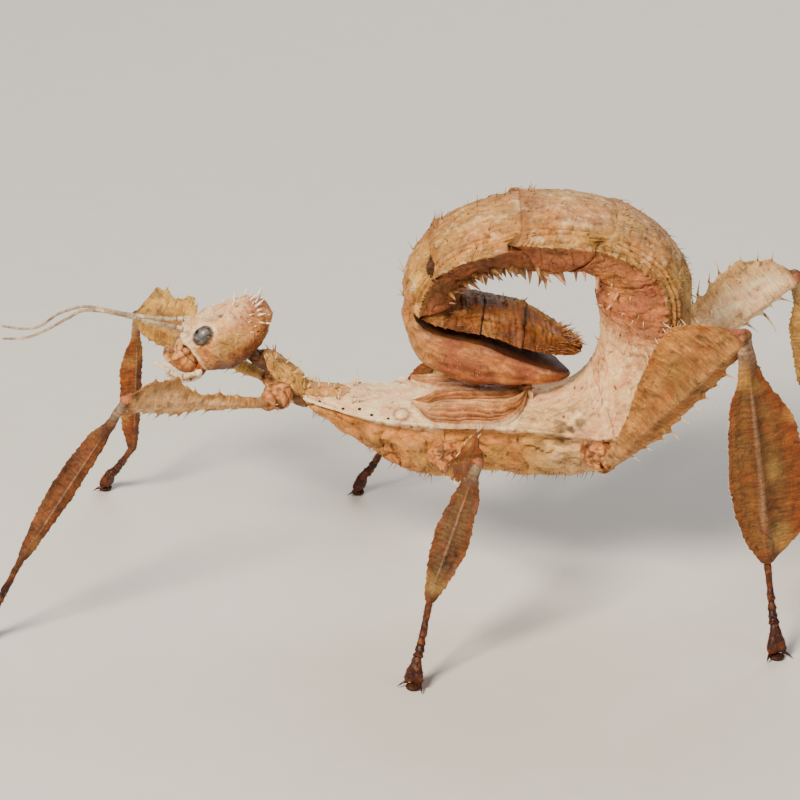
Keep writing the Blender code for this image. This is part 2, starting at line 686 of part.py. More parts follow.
def blade_section(across, normal, outer, inner, thick):
    """Offsets round a leaf-like limb: a raised midrib between two thin flanges."""
    edge = min(EDGE_HALF_THICKNESS, thick * 0.6)
    flank = min(thick * 0.72, outer * 0.8, inner * 0.8)
    web = max(edge, 0.3 * thick)
    profile = ((outer, edge), (flank, web), (0.0, thick), (-flank, web), (-inner, edge),
               (-inner, -edge), (-flank, -web), (0.0, -thick), (flank, -web), (outer, -edge))
    return [across * wide + normal * out for wide, out in profile]


LEAST_REACH = 0.3
ROOT_SHARE = 0.8  # of the core radius at a limb's upper joint
TIP_SHARE = 0.9
LEAST_TOOTHED_REACH = 0.9


def clear_reach(reach, side, along, axis, plane):
    """How far a flange may reach at a place along a limb before it crosses the joint's plane."""
    slope = -side.dot(plane)
    if slope <= 0:
        return reach
    room = (along - JOINT_STEP) * axis.dot(plane) - GAP / 2
    return max(LEAST_REACH, min(reach, room / slope))


def make_blade(name, joints, hint, outline, teeth, tooth, core):
    """A limb between two joints, given with the joints before and after it."""
    before, start, end, after = joints
    axis = (end - start).normalized()
    normal, across = side_vectors(axis, hint)
    inside = (before - start) if name.startswith("tibia") else (after - end)
    if across.dot(inside) > 0:
        across = -across
    length = (end - start).length
    start_plane = joint_plane(start, before, end)
    end_plane = -joint_plane(end, start, after)
    root, tip = core * ROOT_SHARE, core * TIP_SHARE
    first = mitred(start, axis, start_plane, blade_section(across, normal, root, root, root))
    last = mitred(end, -axis, end_plane, blade_section(across, normal, tip, tip, tip))
    low = furthest(first, start, axis) + JOINT_STEP
    high = length - furthest(last, end, -axis) - JOINT_STEP
    places = [(low, 0.0)]
    for i in range(teeth):
        places.append((low + (high - low) * (0.03 + 0.92 * (i + 0.1) / teeth), 0.0))
        places.append((low + (high - low) * (0.03 + 0.92 * (i + 0.75) / teeth), tooth))
    places.append((high, 0.0))
    rings = [first]
    for along, extra in places:
        part = along / length
        outer, inner = blend(outline, part)
        thick = min(core * (0.8 + 0.4 * part), outer * 0.95, inner * 0.95)
        extra = extra if min(outer, inner) > LEAST_TOOTHED_REACH else 0.0
        outer, inner = outer + extra, inner + extra
        outer = clear_reach(outer, across, along, axis, start_plane)
        inner = clear_reach(inner, -across, along, axis, start_plane)
        outer = clear_reach(outer, across, length - along, -axis, end_plane)
        inner = clear_reach(inner, -across, length - along, -axis, end_plane)
        offsets = blade_section(across, normal, outer, inner, thick)
        rings.append([start + axis * along + offset for offset in offsets])
    rings.append(last)
    return add_object(name, loft(rings), "limb", start)


TARSUS_ROOT_RADIUS = 0.45
TARSUS_PROFILE = ((0.06, 0.5), (0.12, 0.55), (0.42, 0.5), (0.5, 0.62), (0.58, 0.48), (0.66, 0.62),
                  (0.74, 0.5), (0.82, 0.8))
PAD_RADIUS = 1.3
PAD_HEIGHT = 0.9
CLAW_LENGTH = 1.3
CLAW_RADIUS = 0.3
CLAW_HEIGHT = 0.62
CLAW_SPREAD = 0.75


def make_tarsus(name, knee, ankle, foot, hint):
    """Five short pieces in a row that flare to a flat pad on the floor."""
    axis = (foot - ankle).normalized()
    root_ring = round_ring(Vector(), axis, hint, TARSUS_ROOT_RADIUS)
    rings = [mitred(ankle, axis, joint_plane(ankle, knee, foot), root_ring)]
    for part, radius in TARSUS_PROFILE:
        rings.append(round_ring(ankle.lerp(foot, part), axis, hint, radius))
    down = Vector((0.0, 0.0, -1.0))
    flat_hint = Vector((hint.x, hint.y, 0.0))
    rings.append(round_ring(foot + Vector((0, 0, PAD_HEIGHT)), down, flat_hint, PAD_RADIUS * 0.9))
    rings.append(round_ring(foot, down, flat_hint, PAD_RADIUS))
    tarsus = add_object("tarsus_" + name, loft(rings), "tarsus", ankle)
    ahead = Vector((axis.x, axis.y, 0.0)).normalized()
    aside = ahead.cross(down)
    claws = []
    for mirror in (-1, 1):
        out = (ahead + aside * CLAW_SPREAD * mirror).normalized()
        root = foot + Vector((0, 0, CLAW_HEIGHT)) + out * PAD_RADIUS * 0.8
        claws.append((root, out + down * 0.22, CLAW_LENGTH, CLAW_RADIUS))
    add_spines(tarsus, claws)


def make_legs(trees):
    for name, points in LEGS.items():
        root, tip, knee, ankle, foot, flat, hint = (Vector(point) for point in points)
        kind = name.split("_")[0]
        size = 0.85 if kind == "fore" else 1.0
        core = CORE_RADIUS[kind]
        make_coxa(name, root, tip, knee, hint, trees[kind], size)
        femur_outline = FEMUR_OUTLINES.get(name, FEMUR_OUTLINES[kind])
        make_blade("femur_" + name, (root, tip, knee, ankle), flat, femur_outline,
                   TEETH[kind], FEMUR_TOOTH[kind], core)
        make_blade("tibia_" + name, (tip, knee, ankle, foot), hint, TIBIA_OUTLINES[kind],
                   TEETH[kind], TIBIA_TOOTH, core * 0.8)
        make_tarsus(name, knee, ankle, foot, hint)


def smooth_path(points, steps):
    """Points on a smooth curve through the given ones."""
    ends = [points[0] * 2 - points[1], *points, points[-1] * 2 - points[-2]]
    path = []
    for i in range(1, len(ends) - 2):
        before, a, b, after = ends[i - 1:i + 3]
        for step in range(steps):
            t = step / steps
            path.append(0.5 * (2 * a + (b - before) * t + (2 * before - 5 * a + 4 * b - after) * t * t
                               + (3 * a - before - 3 * b + after) * t ** 3))
    path.append(points[-1])
    return path


SCAPE_RADIUS = 0.6  # of the stout first joint


def make_antenna(name, points, tree):
    path = smooth_path([Vector(p) for p in points], 2)
    hint = Vector((0.0, 0.2, 1.0))
    rings = []
    for i, point in enumerate(path):
        ahead = path[min(i + 1, len(path) - 1)]
        behind = path[max(i - 1, 0)]
        part = i / (len(path) - 1)
        radius = ANTENNA_RADII[0] + (ANTENNA_RADII[1] - ANTENNA_RADII[0]) * min(1.0, part * 1.6)
        if 0 < i < 3:
            radius = SCAPE_RADIUS
        rings.append(round_ring(point, (ahead - behind).normalized(), hint, radius, 6))
    inward = (path[0] - path[1]).normalized()
    rings[0], hub = settle_ring(rings[0], inward, tree)
    add_object(name, loft(rings, hub), "feeler", hub)


EYE_SIDES = 12
EYE_STRETCH = 0.9


def make_eye(name, mirror, tree):
    axis, crown = head_frame()
    along, out, up = EYE_PLACE
    place = HEAD_BASE + axis * along + Vector((0.0, out * mirror, 0.0)) + crown * up
    outward = Vector((0.0, -mirror, 0.0)) + crown * 0.28
    outward.normalize()
    rings = [round_ring(place, outward, axis, EYE_RADIUS, EYE_SIDES, EYE_STRETCH)]
    rings[0], middle = settle_ring(rings[0], -outward, tree)
    level = max((point - middle).dot(outward) for point in rings[0])
    for part in (0.25, 0.6, 0.85, 0.97):
        rise = level + EYE_HEIGHT * part
        radius = EYE_RADIUS * math.sqrt(1.0 - part * part)
        rings.append(round_ring(middle + outward * rise, outward, axis, radius, EYE_SIDES, EYE_STRETCH))
    add_object(name, loft(rings, middle), "eye", middle)


MOUTH_AXIS = Vector((-0.90, 0.0, -0.43))
MOUTH_STATIONS = ((-27.1, 33.3, 2.0, 2.2), (-28.0, 32.9, 2.1, 2.3), (-28.8, 32.5, 1.7, 1.9),
                  (-29.6, 32.1, 1.0, 1.2))
# Jaws and upper lip: centre and half sizes of each rounded plate
MANDIBLE = (Vector((-28.8, 1.12, 32.3)), Vector((1.6, 1.12, 1.9)))
LABRUM = (Vector((-29.4, 0.0, 34.0)), Vector((1.15, 1.6, 1.1)))


def make_mouth(tree):
    axis = MOUTH_AXIS.normalized()
    rings = []
    for x, z, half_width, half_height in MOUTH_STATIONS:
        ring = round_ring(Vector((x, 0.0, z)), axis, Vector((0.0, 0.0, 1.0)), half_height, 12,
                          half_width / half_height)
        rings.append(ring)
    rings[0], hub = settle_ring(rings[0], -axis, tree)
    mouth = add_object("mouthparts", loft(rings, hub), "mouth", hub)
    plates = [plate_at(MANDIBLE, 1), plate_at(MANDIBLE, -1), plate_at(LABRUM, 1)]
    union(mouth, plates)
    return mouth


def plate_at(plate, mirror):
    """A rounded mouth plate, to be fused with the others so that the line of the mouth shows."""
    centre, half_sizes = plate
    centre = Vector((centre.x, centre.y * mirror, centre.z))
    bm = bmesh.new()
    bmesh.ops.create_icosphere(bm, subdivisions=2, radius=1.0)
    for vert in bm.verts:
        vert.co = centre + vert.co * half_sizes
    return add_object("plate", bm, "mouth", centre)


PALPS = {
    "palp_left": ((-26.4, -2.3, 31.2), (-28.0, -2.9, 31.2), (-29.6, -3.2, 32.0), (-31.6, -3.2, 33.4)),
    "palp_right": ((-26.3, 2.3, 30.8), (-27.8, 2.9, 30.2), (-29.4, 3.1, 30.0), (-31.2, 3.1, 30.2)),
}


PALP_RADII = (0.42, 0.28)


def make_palp(name, points, tree):
    path = smooth_path([Vector(p) for p in points], 2)
    rings = []
    for i, point in enumerate(path):
        ahead = path[min(i + 1, len(path) - 1)]
        behind = path[max(i - 1, 0)]
        radius = PALP_RADII[0] + (PALP_RADII[1] - PALP_RADII[0]) * i / (len(path) - 1)
        rings.append(round_ring(point, (ahead - behind).normalized(), Vector((0, 1, 0)), radius, 6))
    inward = (path[0] - path[1]).normalized()
    rings[0], hub = settle_ring(rings[0], inward, tree)
    add_object(name, loft(rings, hub), "mouth", hub)


NECK_START = Vector((-20.0, 0.0, 33.0))
NECK_END = Vector((-17.0, 0.0, 31.5))
NECK_RADIUS = 1.25
NECK_GAP = 0.4


def make_neck(head_tree, thorax_tree):
    axis = (NECK_END - NECK_START).normalized()
    up = Vector((0.0, 0.0, 1.0))
    first, _ = settle_ring(round_ring(NECK_START, axis, up, NECK_RADIUS, 10), -axis, head_tree, NECK_GAP)
    last, _ = settle_ring(round_ring(NECK_END, axis, up, NECK_RADIUS, 10), axis, thorax_tree)
    middle = [a.lerp(b, 0.5) for a, b in zip(first, last)]
    add_object("neck", loft([first, middle, last]), "mouth", NECK_START)


WING_PAD_LENGTH = (1.6, 17.2)
WING_PAD_WIDTH = (0.3, 6.5)
WING_PAD_THICKNESS = 0.55
PAD_GAP = 0.42
VEIN_HEIGHT = 0.2
WING_RINGS = 10
WING_COLUMNS = 9  # every second one is a vein
WING_ROUNDING = 3.2  # how late the outer edge curves in at the tip
WING_ROOT_SHARE = 0.62  # width at the root as a share of the full width


def make_wing_pad(name, mirror, trees):
    """A short wing that lies on the back, its underside a gap above the plates, its veins raised."""
    down = Vector((0.0, 0.0, -1.0))
    rings = []
    for step in range(WING_RINGS):
        part = step / (WING_RINGS - 1)
        x = WING_PAD_LENGTH[0] + (WING_PAD_LENGTH[1] - WING_PAD_LENGTH[0]) * part
        root_share = WING_ROOT_SHARE + (1.0 - WING_ROOT_SHARE) * min(1.0, part * 4)
        reach = WING_PAD_WIDTH[1] * math.sqrt(max(0.14, 1.0 - part ** WING_ROUNDING)) * root_share
        under, over = [], []
        for column in range(WING_COLUMNS):
            y = (WING_PAD_WIDTH[0] + (reach - WING_PAD_WIDTH[0]) * column / (WING_COLUMNS - 1)) * mirror
            above = Vector((x, y, 26.0))
            base = max((settle(above, down, tree, PAD_GAP) for tree in trees), key=lambda place: place.z)
            under.append(base)
            rise = WING_PAD_THICKNESS + (VEIN_HEIGHT if column % 2 else 0.0)
            over.append(base + Vector((0, 0, rise)))
        rings.append(over + list(reversed(under)))
    add_object(name, loft(rings), "wing_pad", ring_middle(rings[0]))


def main():
    clear_scene()
    random.seed(SEED)
    head = make_head()
    meso, meta = make_thorax()
    bpy.context.view_layer.update()
    pro = bpy.data.objects["prothorax"]
    head_tree, pro_tree, meso_tree, meta_tree = (tree_of(obj) for obj in (head, pro, meso, meta))
    make_neck(head_tree, pro_tree)
    mouth = make_mouth(head_tree)
    for name, points in PALPS.items():
        make_palp(name, points, tree_of(mouth))
    make_eye("eye_left", 1.0, head_tree)
    make_eye("eye_right", -1.0, head_tree)
    for name, points in ANTENNAE.items():
        make_antenna(name, points, head_tree)
    make_legs({"fore": pro_tree, "mid": meso_tree, "hind": meta_tree})
    make_wing_pad("wing_pad_left", -1.0, (meso_tree, meta_tree))
    make_wing_pad("wing_pad_right", 1.0, (meso_tree, meta_tree))
    make_abdomen()
    make_terminal()
    make_operculum()
    add_spines(head, head_spines(head_tree))
    add_spines(pro, thorax_spines(PROTHORAX_SPINES, PROTHORAX_STATIONS, pro_tree))
    add_spines(meso, thorax_spines(MESOTHORAX_SPINES, MESOTHORAX_STATIONS, meso_tree))
    add_spines(meta, thorax_spines(METATHORAX_SPINES, METATHORAX_STATIONS, meta_tree))


main()
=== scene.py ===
"""Looks of a life-size spectre stick insect: dry-leaf skin, thorns, wings, eyes, feelers and feet.

The shapes are laid out in millimetres in the insect's own frame: x towards the tail, y to her
right, z up from the floor, and y = 0 on her middle plane. metres() turns them into the frame's
own metres.
"""

import math

import bpy
import numpy as np
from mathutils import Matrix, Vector, noise
from mathutils.bvhtree import BVHTree


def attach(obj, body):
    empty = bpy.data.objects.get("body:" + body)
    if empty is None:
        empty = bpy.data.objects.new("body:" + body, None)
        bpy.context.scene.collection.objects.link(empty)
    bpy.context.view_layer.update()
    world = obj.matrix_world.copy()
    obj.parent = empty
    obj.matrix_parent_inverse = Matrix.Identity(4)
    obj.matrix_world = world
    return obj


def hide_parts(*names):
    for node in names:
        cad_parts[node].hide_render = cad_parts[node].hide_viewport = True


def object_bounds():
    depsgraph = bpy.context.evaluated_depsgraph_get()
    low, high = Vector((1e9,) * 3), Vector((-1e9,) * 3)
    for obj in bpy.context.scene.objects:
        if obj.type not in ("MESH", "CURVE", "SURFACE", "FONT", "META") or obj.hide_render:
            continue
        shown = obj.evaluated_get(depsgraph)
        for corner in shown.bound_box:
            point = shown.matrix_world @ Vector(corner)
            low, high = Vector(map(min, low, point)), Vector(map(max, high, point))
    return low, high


bl_info = {
    "name": "Spectre stick insect",
    "version": (1, 0, 0),
    "blender": (4, 5, 0),
    "location": "View3D > Sidebar > Insect",
    "description": "Skin, thorns, wings, eyes, feelers and feet of a stick insect",
    "category": "Object",
}

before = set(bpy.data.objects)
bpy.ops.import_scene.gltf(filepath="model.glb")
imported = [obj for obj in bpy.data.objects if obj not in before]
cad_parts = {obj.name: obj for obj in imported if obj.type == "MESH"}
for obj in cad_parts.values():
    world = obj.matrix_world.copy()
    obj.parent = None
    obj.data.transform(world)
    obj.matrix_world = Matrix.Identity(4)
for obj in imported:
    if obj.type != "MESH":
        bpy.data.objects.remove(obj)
CAD_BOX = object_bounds()

MM = 0.001
MIDDLE = np.array((5.29, -0.45, 0.0))  # the frame's origin in the insect's own millimetres
SIDE = np.array((0.0, 1.0, 0.0))
UP = np.array((0.0, 0.0, 1.0))
SEED = 23
BOX_MARGIN = 0.03  # millimetres that a thorn's tip keeps from the CAD box
SHORTEST_SHARE = 0.15  # of its length that a thorn keeps there
UNWRAP_RADIUS = 0.0015  # of each thorn's patch on the unwrap


def linear(code):
    """An sRGB hex colour as linear red, green and blue."""
    values = []
    for place in (1, 3, 5):
        part = int(code[place:place + 2], 16) / 255.0
        values.append(part / 12.92 if part <= 0.04045 else ((part + 0.055) / 1.055) ** 2.4)
    return tuple(values)


def colour_property(name, description, code):
    return bpy.props.FloatVectorProperty(
        name=name, description=description, subtype="COLOR", size=3, min=0.0, max=1.0, default=linear(code))


class InsectColours(bpy.types.PropertyGroup):
    """The dry-leaf livery."""

    cream: colour_property("Cream", "Roof plates of the thorax", "#E6B983")
    tan: colour_property("Tan", "Outer side of the curled abdomen", "#AE7A40")
    straw: colour_property("Straw", "Leafy lobes and the far hind thigh", "#B98E45")
    rose: colour_property("Rose", "Inner side of the curled abdomen", "#9E5A3A")
    peach: colour_property("Peach", "Cheeks and crown", "#CC8848")
    ochre: colour_property("Ochre", "Flanks of the thorax", "#AE6A22")
    rust: colour_property("Rust", "Blotches and leaf edges", "#7F3A10")
    leaf: colour_property("Leaf brown", "Leafy limbs", "#744012")
    olive: colour_property("Olive", "Middle of the leafy shins", "#5E4822")
    umber: colour_property("Umber", "Plates of the tail end", "#522B10")
    dark: colour_property("Dark", "Cracks, dots and thorn tips", "#180B05")
    bone: colour_property("Bone", "Ridges, thorns and palps", "#EBD3AC")
    foot: colour_property("Foot", "Feet", "#300E03")
    feeler: colour_property("Feeler", "Feelers", "#A08C70")


class InsectSizes(bpy.types.PropertyGroup):
    """Sizes that shape the surface, in millimetres."""

    relief: bpy.props.FloatProperty(
        name="Skin relief", description="Depth of the skin's wrinkles", default=0.1)
    vein: bpy.props.FloatProperty(name="Vein height", description="Height of a wing vein", default=0.17)


def hues():
    """The livery's colours by name, as arrays."""
    colours = bpy.context.scene.insect_colours
    return {name: np.array(getattr(colours, name)) for name in InsectColours.__annotations__}


def metres(points):
    return (np.asarray(points, float) - MIDDLE) * MM


def unit(vectors):
    vectors = np.asarray(vectors, float)
    return vectors / np.maximum(np.linalg.norm(vectors, axis=-1, keepdims=True), 1e-12)


def ease(values, low, high):
    """0 below low, 1 above high, and smooth between."""
    part = np.clip((np.asarray(values, float) - low) / (high - low), 0.0, 1.0)
    return part * part * (3.0 - 2.0 * part)


def bump(values, centre, width):
    return np.exp(-((np.asarray(values, float) - centre) / width) ** 2)


def distance(places, spot):
    return np.linalg.norm(places - np.asarray(spot), axis=-1)


def flow(knots, places):
    """Rows on a smooth curve through rows of knots, at places counted in knots."""
    knots = np.asarray(knots, float)
    last = len(knots) - 1
    places = np.clip(places, 0.0, last - 1e-9)
    low = np.floor(places).astype(int)
    t = (places - low)[:, None]
    before = knots[np.maximum(low - 1, 0)]
    a = knots[low]
    b = knots[low + 1]
    after = knots[np.minimum(low + 2, last)]
    return 0.5 * (2 * a + (b - before) * t + (2 * before - 5 * a + 4 * b - after) * t ** 2
                  + (3 * a - before - 3 * b + after) * t ** 3)


def table_at(table, places, smooth=0):
    """Columns of a table read at places in its first column, evened out over its neighbours."""
    table = np.asarray(table, float)
    read = np.stack([np.interp(places, table[:, 0], column) for column in table.T[1:]], axis=1)
    for _ in range(smooth):
        read[1:-1] = 0.25 * read[:-2] + 0.5 * read[1:-1] + 0.25 * read[2:]
    return read


def clouds(points, size, seed=0.0):
    """Soft noise of about one size in millimetres, from -1 to 1, at each point."""
    shape = points.shape[:-1]
    flat = points.reshape(-1, 3) / size + seed
    values = [noise.noise(Vector(point)) for point in flat]
    return np.array(values).reshape(shape)


def normals_of(places):
    """Outward normals of rows of points that run round a body."""
    along = np.gradient(places, axis=0)
    wrapped = np.concatenate([places[:, -2:-1], places, places[:, 1:2]], axis=1)
    around = wrapped[:, 2:] - wrapped[:, :-2]
    normals = unit(np.cross(around, along))
    middle = places.mean(axis=1, keepdims=True)
    outward = np.sign(((places - middle) * normals).sum(axis=(1, 2), keepdims=True))
    return normals * np.where(outward == 0, 1.0, outward)


def layered(places, base, *layers, shade=1.0):
    """A colour for each place: a shaded base colour, then layers of a colour and how far it covers."""
    hue = hues()
    field = np.broadcast_to(hue[base] * shade, places.shape)
    for name, strength in layers:
        strength = np.clip(strength, 0.0, 1.0)[..., None]
        field = field * (1.0 - strength) + hue[name] * strength
    return field


def deselect():
    if bpy.context.mode != "OBJECT":
        bpy.ops.object.mode_set(mode="OBJECT")
    bpy.ops.object.select_all(action="DESELECT")


def select_only(piece):
    deselect()
    piece.select_set(True)
    bpy.context.view_layer.objects.active = piece


MERGE = 2e-6  # metres
CREASE = math.radians(55)


def close_up(piece, crease=CREASE):
    """Joins a wrapped grid along its seam and at its poles, and shades it."""
    select_only(piece)
    bpy.ops.object.mode_set(mode="EDIT")
    bpy.ops.mesh.select_all(action="SELECT")
    bpy.ops.mesh.remove_doubles(threshold=MERGE)
    bpy.ops.mesh.dissolve_degenerate(threshold=MERGE)
    bpy.ops.mesh.select_all(action="SELECT")
    bpy.ops.mesh.normals_make_consistent(inside=False)
    bpy.ops.object.mode_set(mode="OBJECT")
    bpy.ops.object.shade_smooth_by_angle(angle=crease)


def lay_of(places):
    """Millimetres round the body from the first column, along it, and to the side."""
    around = np.linalg.norm(np.diff(places, axis=1), axis=-1)
    around = np.concatenate([np.zeros((len(places), 1)), np.cumsum(around, axis=1)], axis=1)
    around = np.minimum(around, around[:, -1:] - around)
    along = np.linalg.norm(np.diff(places, axis=0), axis=-1).mean(axis=1)
    along = np.concatenate([(0.0,), np.cumsum(along)])
    return np.stack([around, np.broadcast_to(along[:, None], around.shape), places[..., 1]], axis=-1)


def capped(rows):
    """Rows with their ends repeated, for the poles."""
    return np.concatenate([rows[:1], rows, rows[-1:]])


def lay_skin(piece, places, livery, lay):
    """Moves a piece's points to their places, in millimetres, colours them and closes the skin."""
    piece.data.vertices.foreach_set("co", metres(places).astype(np.float32).ravel())
    paint(piece, livery)
    layer = piece.data.attributes.new("Lay", "FLOAT_VECTOR", "POINT")
    layer.data.foreach_set("vector", lay.astype(np.float32).ravel())
    piece.data.update()
    close_up(piece)
    return piece


def add_ball(name, segments, rings):
    """A sphere to shape, and its points."""
    deselect()
    bpy.ops.mesh.primitive_uv_sphere_add(segments=segments, ring_count=rings, radius=1.0)
    piece = bpy.context.object
    piece.name = name
    return piece, np.array([vertex.co for vertex in piece.data.vertices])


def wrap_grid(name, places, livery, lay=None):
    """A grid laid on rows of points, in millimetres, with its colours, then closed into a skin."""
    places = np.asarray(places, float)
    lay = lay_of(places) if lay is None else lay
    poles = [np.repeat(end.mean(axis=1, keepdims=True), places.shape[1], axis=1)
             for end in (places[:1], places[-1:])]
    places = np.concatenate([poles[0], places, poles[1]])
    rows, columns = places.shape[:2]
    deselect()
    bpy.ops.mesh.primitive_grid_add(x_subdivisions=columns - 1, y_subdivisions=rows - 1, size=1.0)
    piece = bpy.context.object
    piece.name = name
    piece.data.name = name
    return lay_skin(piece, places, capped(livery), capped(lay))


def paint(piece, livery):
    """Stores a colour for each point of a piece."""
    colours = np.asarray(livery).reshape(-1, 3)
    colours = np.column_stack([colours, np.ones(len(colours))])
    layer = piece.data.attributes.new("Livery", "FLOAT_COLOR", "POINT")
    layer.data.foreach_set("color", colours.astype(np.float32).ravel())


def finish_piece(piece, surface, slot_name, *nodes):
    """Gives a piece its material and its place in the frame."""
    piece.data.materials.clear()
    piece.data.materials.append(surface)
    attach(piece, "root")
    if nodes:
        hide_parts(*nodes)


# Curl of the abdomen: the belly line is an oval that widens towards the base
LOOP_CENTRE = np.array((18.8, 0.0, 42.4))
LOOP_HALF_LENGTH = 18.3
LOOP_RISE = 12.0
LOOP_FALL = 12.9
BASE_WIDENING = 0.9
BASE_ANGLE = 75.0
BASE_POWER = 1.9
CURL_START, CURL_END = -70.0, 187.0
CURL_KNOTS = 33

# Half width, back height, belly depth, lobe reach and lobe droop by angle round the curl
CURL_SECTIONS = (
    (-70.0, 7.5, 7.6, 4.6, 0.2, 0.0),
    (-27.0, 8.0, 9.0, 3.6, 0.3, 0.0),
    (0.0, 8.2, 8.2, 3.6, 0.5, 0.1),
    (45.0, 8.1, 7.0, 3.1, 0.9, 0.2),
    (90.0, 7.8, 6.6, 2.9, 1.3, 0.2),
    (125.0, 7.7, 6.2, 3.1, 1.5, 0.1),
    (150.0, 7.4, 5.7, 2.7, 1.1, -0.1),
    (187.0, 6.6, 5.0, 2.0, 0.4, 0.0),
)

# Neck and thorax: margin x and z, direction of the back x and z, half width, back, belly, lobe
THORAX_SECTIONS = (
    (-20.8, 33.6, -0.55, 0.84, 1.0, 1.0, 1.0, 0.0),
    (-19.4, 32.9, -0.50, 0.86, 1.25, 1.25, 1.3, 0.0),
    (-17.6, 32.0, -0.42, 0.90, 1.6, 1.6, 1.6, 0.0),
    (-16.9, 31.6, -0.35, 0.94, 2.0, 2.0, 1.8, 0.1),
    (-16.2, 31.0, -0.15, 1.0, 2.6, 2.3, 2.4, 0.2),
    (-14.9, 30.0, 0.05, 1.0, 2.8, 2.1, 2.8, 0.2),
    (-13.4, 29.0, 0.10, 1.0, 2.5, 1.9, 2.8, 0.2),
    (-12.5, 28.3, 0.10, 1.0, 2.1, 1.7, 2.5, 0.1),
    (-12.0, 27.6, 0.05, 1.0, 2.0, 1.5, 1.9, 0.2),
    (-9.0, 27.0, 0.0, 1.0, 3.2, 1.3, 3.1, 0.35),
    (-6.0, 26.6, 0.0, 1.0, 4.4, 1.2, 4.8, 0.35),
    (-3.0, 26.3, 0.0, 1.0, 5.3, 1.2, 6.7, 0.35),
    (0.0, 26.1, 0.0, 1.0, 5.9, 1.3, 8.4, 0.35),
    (3.4, 26.0, 0.0, 1.0, 6.3, 1.5, 9.5, 0.35),
    (7.2, 25.9, 0.0, 1.0, 6.4, 1.7, 9.3, 0.35),
    (11.0, 25.7, 0.0, 1.0, 6.5, 1.7, 8.4, 0.3),
    (16.0, 25.4, 0.0, 1.0, 6.7, 1.9, 8.4, 0.3),
    (20.0, 25.0, -0.10, 1.0, 6.9, 2.9, 8.2, 0.3),
    (24.2, 24.5, -0.27, 0.96, 7.2, 5.0, 7.1, 0.3),
)

# Knots of the margins between the body's rings
CURL_KNOT = float(len(THORAX_SECTIONS))
KNOT_ANGLE = (CURL_END - CURL_START) / (CURL_KNOTS - 1)


def curl_knot(degrees):
    return CURL_KNOT + (degrees - CURL_START) / KNOT_ANGLE


# Margins between rings: knot, and how far the roof, the side edges and the belly shift, in knots
BODY_MARGINS = (
    (0.0, 0.0, 0.0, 0.0),
    (3.0, -0.2, 0.0, 0.3),
    (7.8, 2.1, -0.6, 0.2),
    (13.6, 0.3, 0.0, 0.0),
    (CURL_KNOT, 0.2, -0.2, 0.0),
    (curl_knot(-27.0), 0.1, 0.5, 0.0),
    (curl_knot(20.0), 0.1, 0.5, 0.0),
    (curl_knot(62.0), 0.1, 0.6, -0.1),
    (curl_knot(103.0), 0.1, 1.1, -0.2),
    (curl_knot(150.0), 0.2, 1.0, -0.5),
    (curl_knot(187.0), 0.0, 0.0, 0.0),
)

# Body rings: name, rows, how far the hind lip stands out, extra reach of the leafy lobe at the
# hind corner, and how far the lobe's edge climbs to the outer side of the curl
BODY_RINGS = (
    ("neck", 22, 0.3, 0.0, 0.0),
    ("prothorax", 60, 1.0, 0.0, 0.0),
    ("mesothorax", 96, 0.15, 0.0, 0.0),
    ("metathorax", 74, 0.05, 0.0, 0.0),
    ("abdomen_2", 60, 0.25, 0.0, 0.0),
    ("abdomen_3", 58, 0.35, 0.1, 0.05),
    ("abdomen_4", 58, 0.6, 0.4, 0.1),
    ("abdomen_5", 60, 1.0, 1.1, 0.3),
    ("abdomen_6", 60, 1.0, 1.3, 0.28),
    ("abdomen_7", 48, 0.8, 0.4, 0.1),
)
BODY_COLUMNS = 144
PRONOTUM, MESONOTUM, METANOTUM, FIRST_CURLED, SLIT_RING = 1, 2, 3, 4, 9


def curl_knots():
    """Section rows of the curled abdomen: centre x and z, back x and z, and the five sizes."""
    degrees = np.linspace(CURL_START, CURL_END, CURL_KNOTS)
    scale = 1.0 + BASE_WIDENING * (np.maximum(0.0, -degrees) / BASE_ANGLE) ** BASE_POWER
    angle = np.radians(degrees)
    rise = np.where(degrees > 0, LOOP_RISE, LOOP_FALL)
    belly_x = LOOP_CENTRE[0] + LOOP_HALF_LENGTH * np.cos(angle) * scale
    belly_z = LOOP_CENTRE[2] + rise * np.sin(angle) * scale
    back = unit(np.stack([LOOP_CENTRE[0] - belly_x, LOOP_CENTRE[2] - belly_z], axis=1))
    sizes = table_at(CURL_SECTIONS, degrees, smooth=2)
    centre_x = belly_x + back[:, 0] * sizes[:, 2]
    centre_z = belly_z + back[:, 1] * sizes[:, 2]
    return np.column_stack([centre_x, centre_z, back, sizes])


def thorax_knots():
    """Section rows of neck and thorax, whose lobes don't droop."""
    return np.array([(*row, 0.0) for row in THORAX_SECTIONS])


def side_angles(columns, crowd=0.72):
    """Angles round a section, closest together at the two side edges."""
    turn = np.linspace(0.0, 2.0, columns + 1)
    half = np.floor(np.minimum(turn, 1.999999))
    part = turn - half
    return math.pi * (half + part - crowd / (2.0 * math.pi) * np.sin(2.0 * math.pi * part))


def ring_rows(count, lip):
    """Rows along a ring from 0 to 1, its girth at each, and the lip that tucks under itself."""
    step = min(1.0, 0.12 + lip)
    part = np.linspace(0.0, 1.0, count)
    girth = 1.0 + 0.012 * np.sin(math.pi * part) - 0.03 * step * (1.0 - ease(part, 0.0, 0.1))
    girth = girth + 0.035 * lip * ease(part, 0.8, 0.97) - 0.01 * lip * ease(part, 0.975, 1.0)
    stretch = np.append(part, (1.0, 0.98))
    girth = np.append(girth, (1.0 - 0.015 * step, 1.0 - 0.05 * step))
    shown = np.append(part, (1.0, 1.0))
    return stretch, girth, shown


